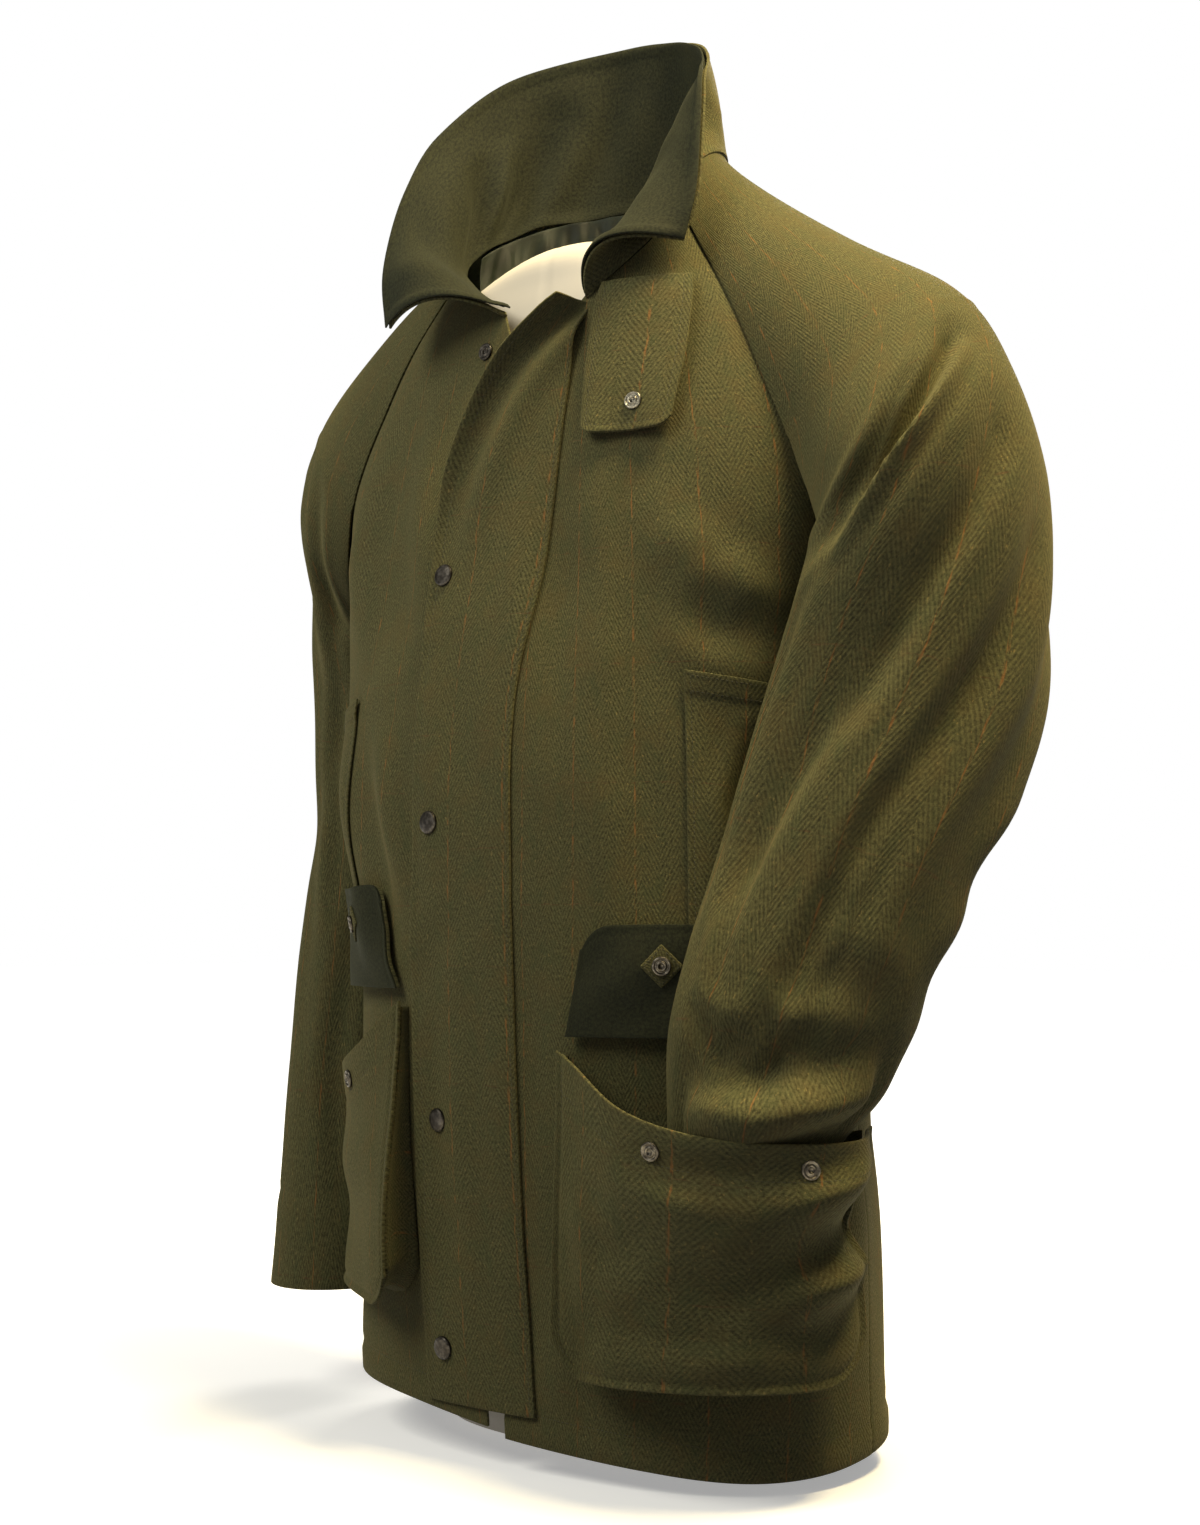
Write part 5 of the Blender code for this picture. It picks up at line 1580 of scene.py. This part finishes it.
class JacketFinish(bpy.types.PropertyGroup):
    stripe: bpy.props.FloatProperty(
        name="Herringbone stripe", description="Width of one stripe before the twill turns",
        default=0.0125, min=0.004, unit="LENGTH")
    twill_pitch: bpy.props.FloatProperty(
        name="Twill pitch", description="Distance up the cloth from one twill line to the next",
        default=0.0046, min=0.001, unit="LENGTH")
    twill_slope: bpy.props.FloatProperty(
        name="Twill slope", description="Rise of a twill line over its run", default=1.75,
        min=0.0, soft_max=4.0, subtype="FACTOR")
    check_width: bpy.props.FloatProperty(
        name="Check width", description="Distance between the upright check lines",
        default=0.048, min=0.01, unit="LENGTH")
    check_height: bpy.props.FloatProperty(
        name="Check height", description="Distance between the level check lines",
        default=0.075, min=0.01, unit="LENGTH")
    tweed: bpy.props.FloatVectorProperty(
        name="Tweed", description="Ground colour of the tweed", default=(0.071, 0.067, 0.027),
        subtype="COLOR", size=3, min=0, max=1)
    check: bpy.props.FloatVectorProperty(
        name="Check", description="Colour of the upright check lines",
        default=(0.34, 0.13, 0.035, 1.0), subtype="COLOR", size=4, min=0, max=1)
    moleskin: bpy.props.FloatVectorProperty(
        name="Moleskin", description="Colour of the collar facing and the flap lining",
        default=(0.0150, 0.0166, 0.0072), subtype="COLOR", size=3, min=0, max=1)
    satin: bpy.props.FloatVectorProperty(
        name="Satin", description="Colour of the lining", default=(0.010, 0.015, 0.009),
        subtype="COLOR", size=3, min=0, max=1)
    tape: bpy.props.FloatVectorProperty(
        name="Zip tape", description="Colour of the zip's tape", default=(0.030, 0.034, 0.018),
        subtype="COLOR", size=3, min=0, max=1)
    ivory: bpy.props.FloatVectorProperty(
        name="Form", description="Colour of the dress form", default=(0.80, 0.73, 0.62),
        subtype="COLOR", size=3, min=0, max=1)
    thread: bpy.props.FloatVectorProperty(
        name="Thread", description="Colour of the stitches", default=(0.060, 0.056, 0.026),
        subtype="COLOR", size=3, min=0, max=1)


class JACKET_OT_form(bpy.types.Operator):
    """Adds the limbless dress form"""

    bl_idname = "jacket.form"
    bl_label = "Dress Form"

    def execute(self, context):
        bm = bmesh.new()
        bmesh.ops.create_grid(bm, x_segments=FORM_GRID[0], y_segments=FORM_GRID[1], size=0.5)
        grid = np.array([vert.co[:2] for vert in bm.verts]) + 0.5
        angle = grid[:, 0] * 2 * math.pi
        z = FORM_TOP * (1 - (1 - grid[:, 1]) ** FORM_CROWDING)
        c, s = np.cos(angle), np.sin(angle)
        deep = np.where(s < 0, read(FORM, "front", z), read(FORM, "back", z))
        near = np.abs(c / read(FORM, "side", z)) ** FORM_SQUARE + np.abs(s / deep) ** FORM_SQUARE
        radius = near ** (-1 / FORM_SQUARE)
        radius = radius - FORM_SEAM_DEPTH * swell(radius * c, FORM_SEAM_HALF)
        for vert, place in zip(bm.verts, xyz(radius * c, radius * s, z)):
            vert.co = place
        bmesh.ops.remove_doubles(bm, verts=bm.verts, dist=1e-6)
        rims = [edge for edge in bm.edges if edge.is_boundary]
        bmesh.ops.holes_fill(bm, edges=rims, sides=0)
        bmesh.ops.recalc_face_normals(bm, faces=bm.faces)
        mesh = bpy.data.meshes.new("dress_form")
        bm.to_mesh(mesh)
        bm.free()
        mesh.shade_smooth()
        declare(add_object("dress_form_shell", mesh, "ivory"), "dress_form")
        return {"FINISHED"}


class JACKET_OT_body(bpy.types.Operator):
    """Adds the back and the two fronts"""

    bl_idname = "jacket.body"
    bl_label = "Back and Fronts"

    def execute(self, context):
        shell("back", "tweed", 112, 150, back_point, TWEED, -1, at=back_chart, lining="satin")
        for side in (1, -1):
            name = side_name(side)
            shell("front_" + name, "tweed", 84, 150, front_point(side), TWEED, side,
                  at=body_chart(side), lining="satin")
        return {"FINISHED"}


class JACKET_OT_sleeves(bpy.types.Operator):
    """Adds the raglan sleeves"""

    bl_idname = "jacket.sleeves"
    bl_label = "Sleeves"

    def execute(self, context):
        for side in (1, -1):
            shell(
                "sleeve_" + side_name(side), "tweed", 120, 182, sleeve_point(side), TWEED,
                -side, key=along_sleeve, tube_from=1 - 1e-6, at=sleeve_chart(side),
                lining="satin",
            )
        return {"FINISHED"}


class JACKET_OT_collar(bpy.types.Operator):
    """Adds the turned-up collar, its facing and the back neck lining"""

    bl_idname = "jacket.collar"
    bl_label = "Collar"

    def execute(self, context):
        size = (COLLAR_AROUND, COLLAR_DEEP)
        shell("under_collar", "tweed", 160, 36, collar_point(COLLAR_OUT), COLLAR_TWEED, size=size)
        shell("collar_facing", "moleskin", 160, 36, collar_point(-COLLAR_HALF_GAP), MOLESKIN,
              size=size)
        shell("back_neck_lining", "satin", 120, 16, lining_point, SATIN, size=(0.36, 0.05))
        return {"FINISHED"}


class JACKET_OT_placket(bpy.types.Operator):
    """Adds the storm placket with its caps"""

    bl_idname = "jacket.placket"
    bl_label = "Storm Placket"

    def execute(self, context):
        size = (PLACKET_WIDTH, PLACKET_HIGH - PLACKET_LOW)
        shell("placket", "tweed", 28, 190, placket_point, TWEED, size=size)
        for number, (z, inset) in enumerate(PLACKET_CAPS, 1):
            v = (z - PLACKET_LOW) / (PLACKET_HIGH - PLACKET_LOW)
            u = inset / float(read(PLACKET, "sewn", z) - read(PLACKET, "free", z))
            stud_on(f"placket_cap_{number}", CAP, placket_point, u, v)
        return {"FINISHED"}


class JACKET_OT_zip(bpy.types.Operator):
    """Adds the zip's tapes and teeth and the stud beside its top end"""

    bl_idname = "jacket.zip"
    bl_label = "Zip"

    def execute(self, context):
        runs = []
        for side in (1, -1):
            name = side_name(side)
            tape = tape_point(side)
            shell("zip_tape_" + name, "tape", 8, 140, tape, TAPE, side, size=(0.014, 0.70))
            runs.append(walk(tape, -0.02, ALONG, 2.5 * MM, side, 0.2 * MM))
        repeated("zip_teeth", "brass", "tooth", (1.5 * MM, 3.2 * MM, 2.4 * MM), runs)
        stud_on("neck_stud", SOCKET, beside_zip, 0.5, 0.5, -1)
        return {"FINISHED"}


class JACKET_OT_tab(bpy.types.Operator):
    """Adds the throat tab and its stud"""

    bl_idname = "jacket.tab"
    bl_label = "Throat Tab"

    def execute(self, context):
        shell("throat_tab", "tweed", 40, 56, tab_point, TWEED, size=(TAB_WIDTH, 0.107))
        stud_on("tab_stud", SOCKET, tab_point, *TAB_STUD, material="nickel")
        return {"FINISHED"}


class JACKET_OT_pockets(bpy.types.Operator):
    """Adds the bellows pockets, their turned-up flaps and their studs"""

    bl_idname = "jacket.pockets"
    bl_label = "Bellows Pockets"

    def execute(self, context):
        for side in (1, -1):
            name = side_name(side)
            pocket = pocket_point(side)
            shell("pocket_" + name, "tweed", 84, 72, pocket, TWEED, side,
                  size=(POCKET_WIDTH, 0.16), lining="satin")
            shell("gusset_" + name, "tweed", 150, 10, gusset_point(side), -TWEED, side,
                  size=(0.5, 0.04))
            shell("flap_" + name, "tweed", 60, 28, flap_point(side, FLAP_OUT), TWEED, side,
                  size=(POCKET_WIDTH, 0.068))
            shell("flap_lining_" + name, "moleskin", 60, 28, flap_point(side, LINING_OUT),
                  MOLESKIN, side, size=(POCKET_WIDTH, 0.068))
            for number, across in enumerate(STUD_ACROSS, 1):
                patch = patch_point(side, across, PATCH_OUT)
                shell(f"flap_patch_{name}_{number}", "tweed", 12, 12, patch, PATCH_THICK, side,
                      size=(0.026, 0.026))
                stud_on(f"flap_stud_{name}_{number}", SOCKET, patch, 0.5, 0.5, side, "pewter")
                u = column_at(across / POCKET_WIDTH + 0.5)
                v = 1 - STUD_BELOW_MOUTH / (float(read(MOUTH, "z", spread(u))) - POCKET_LOW)
                stud_on(f"pocket_stud_{name}_{number}", SOCKET, pocket, u, v, side, "pewter")
        return {"FINISHED"}


class JACKET_OT_warmers(bpy.types.Operator):
    """Adds the hand-warmer pockets"""

    bl_idname = "jacket.warmers"
    bl_label = "Hand-warmer Pockets"

    def execute(self, context):
        for side in (1, -1):
            shell("warmer_" + side_name(side), "tweed", 36, 90, warmer_point(side), PATCH_THICK,
                  side, size=(0.074, 0.20))
        return {"FINISHED"}


def hem_seams():
    """Rows of stitches, here and below each as (piece, u, v, facing)."""
    low = HEM_DEPTH / (UNDERARM_FRONT_Z - 0.02) * SPLIT
    fronts = [(front_point(side), ALONG, low, side) for side in (1, -1)]
    return [(back_point, ALONG, low * 0.97, -1)] + fronts


def collar_seams():
    outside = collar_point(COLLAR_OUT)
    inset, top = COLLAR_STITCH / COLLAR_AROUND, 1 - COLLAR_STITCH / COLLAR_DEEP
    up = mix(0.04, top, ALONG)
    return [(outside, mix(inset, 1 - inset, ALONG), top, 1)] + [
        (outside, end, up, 1) for end in (inset, 1 - inset)]


def placket_seams():
    return [(placket_point, across / PLACKET_WIDTH, ALONG, 1)
            for across in (PLACKET_STITCH, PLACKET_WIDTH - PLACKET_SEWN)]


def pocket_seams(side):
    pocket = pocket_point(side)
    edge = column_at(POCKET_STITCH / POCKET_WIDTH)
    hem = 1 - MOUTH_HEM / (read(MOUTH, "z", spread(ALONG)) - POCKET_LOW)
    low = POCKET_STITCH / (MOUTH_MIDDLE - POCKET_LOW)
    lines = [(pocket, ALONG, hem, side), (pocket, mix(edge, 1 - edge, ALONG), low, side)]
    return lines + [(pocket, end, mix(0.05, 0.98, ALONG), side) for end in (edge, 1 - edge)]


def patch_seams(side):
    lines = []
    for across in STUD_ACROSS:
        patch = patch_point(side, across, PATCH_OUT)
        for k in (0.09, 0.91):
            lines.append((patch, k, mix(0.09, 0.91, ALONG), side))
            lines.append((patch, mix(0.09, 0.91, ALONG), k, side))
    return lines


def warmer_seams(side):
    warmer = warmer_point(side)
    lines = [(warmer, k, mix(0.02, 0.98, ALONG), side) for k in (0.055, 0.945)]
    return lines + [(warmer, mix(0.05, 0.95, ALONG), k, side) for k in (0.935, 0.985)]


def tab_seams():
    edge = column_at(POCKET_STITCH / TAB_WIDTH)
    low = POCKET_STITCH / (TAB_HIGH - TAB_LOW)
    lines = [(tab_point, mix(edge, 1 - edge, ALONG), low, 1)]
    return lines + [(tab_point, end, mix(low, 0.96, ALONG), 1) for end in (edge, 1 - edge)]


class JACKET_OT_stitching(bpy.types.Operator):
    """Adds the rows of stitches"""

    bl_idname = "jacket.stitching"
    bl_label = "Stitching"

    def execute(self, context):
        lines = hem_seams() + collar_seams() + placket_seams()
        for side in (1, -1):
            lines += pocket_seams(side) + patch_seams(side) + warmer_seams(side)
            lines.append((sleeve_point(side), ALONG, 2 - CUFF_HEM * 2 / ARM_LENGTH, -side))
        lines += tab_seams()
        sew("seam_stitches", *lines)
        return {"FINISHED"}


class JACKET_OT_stage(bpy.types.Operator):
    """Adds the floor, the soft light and the camera"""

    bl_idname = "jacket.stage"
    bl_label = "Stage"

    def execute(self, context):
        scene = context.scene
        bm = bmesh.new()
        bmesh.ops.create_grid(bm, x_segments=1, y_segments=1, size=FLOOR_REACH)
        bmesh.ops.translate(bm, vec=(0, 0, -FLOOR_DROP), verts=bm.verts)
        mesh = bpy.data.meshes.new("floor")
        bm.to_mesh(mesh)
        bm.free()
        floor = add_object("floor", mesh, "floor")
        floor.visible_diffuse = False

        world = bpy.data.worlds.new("studio")
        world.use_nodes = True
        nodes, links = world.node_tree.nodes, world.node_tree.links
        backdrop = nodes["Background"]
        backdrop.inputs["Color"].default_value = (1.0, 1.0, 1.0, 1.0)
        backdrop.inputs["Strength"].default_value = 1.0
        glow = nodes.new("ShaderNodeBackground")
        glow.inputs["Color"].default_value = (1.0, 0.97, 0.86, 1.0)
        glow.inputs["Strength"].default_value = 0.13
        seen = nodes.new("ShaderNodeLightPath")
        both = nodes.new("ShaderNodeMixShader")
        links.new(seen.outputs["Is Camera Ray"], both.inputs[0])
        links.new(glow.outputs[0], both.inputs[1])
        links.new(backdrop.outputs[0], both.inputs[2])
        links.new(both.outputs[0], nodes["World Output"].inputs["Surface"])
        scene.world = world

        lights = (
            # name, place, aim, size, watts, colour
            ("key", (0.85, 0.05, 2.45), (0, 0, 0.6), 0.75, 96, (1.0, 0.82, 0.45)),
            ("fill", (-0.6, -1.7, 2.0), (0, 0, 0.5), 1.2, 34, (1.0, 0.97, 0.84)),
            ("back", (-0.5, 1.7, 1.7), (0, 0, 0.6), 0.9, 22, (1.0, 0.94, 0.84)),
        )
        for name, place, aim, size, watts, colour in lights:
            lamp = bpy.data.lights.new(name, "AREA")
            lamp.size = size
            lamp.energy = watts
            lamp.color = colour
            made = bpy.data.objects.new(name, lamp)
            made.location = place
            look = Vector(aim) - Vector(place)
            made.rotation_euler = look.to_track_quat("-Z", "Y").to_euler()
            scene.collection.objects.link(made)

        camera = bpy.data.cameras.new("camera")
        camera.sensor_width = 36
        camera.lens = 36 * CAMERA_FOCAL / PHOTO_HEIGHT
        made = bpy.data.objects.new("camera", camera)
        turn = math.radians(CAMERA_TURN)
        made.location = (
            math.sin(turn) * CAMERA_AWAY + CAMERA_SHIFT[0],
            -math.cos(turn) * CAMERA_AWAY + CAMERA_SHIFT[1],
            CAMERA_HIGH,
        )
        made.rotation_euler = (math.radians(90 + CAMERA_PITCH), 0, turn)
        scene.collection.objects.link(made)
        scene.camera = made
        scene.view_settings.view_transform = "Standard"
        return {"FINISHED"}


PIECES = (
    "form", "body", "sleeves", "collar", "placket", "zip", "tab", "pockets", "warmers",
    "stitching", "stage",
)


class JACKET_PT_panel(bpy.types.Panel):
    """The jacket's pieces and finishes"""

    bl_idname = "JACKET_PT_panel"
    bl_label = "Jacket"
    bl_space_type = "VIEW_3D"
    bl_region_type = "UI"
    bl_category = "Jacket"

    def draw(self, context):
        finish = context.scene.jacket_finish
        for name in finish.bl_rna.properties.keys():
            if name not in {"rna_type", "name"}:
                self.layout.prop(finish, name)
        for piece in PIECES:
            self.layout.operator("jacket." + piece)


CLASSES = (
    JacketFinish, JACKET_OT_form, JACKET_OT_body, JACKET_OT_sleeves, JACKET_OT_collar,
    JACKET_OT_placket, JACKET_OT_zip, JACKET_OT_tab, JACKET_OT_pockets, JACKET_OT_warmers,
    JACKET_OT_stitching, JACKET_OT_stage, JACKET_PT_panel,
)


def register():
    for made in CLASSES:
        bpy.utils.register_class(made)
    bpy.types.Scene.jacket_finish = bpy.props.PointerProperty(type=JacketFinish)


def unregister():
    del bpy.types.Scene.jacket_finish
    for made in reversed(CLASSES):
        bpy.utils.unregister_class(made)


def main():
    register()
    for piece in PIECES:
        getattr(bpy.ops.jacket, piece)()


if __name__ == "__main__":
    main()
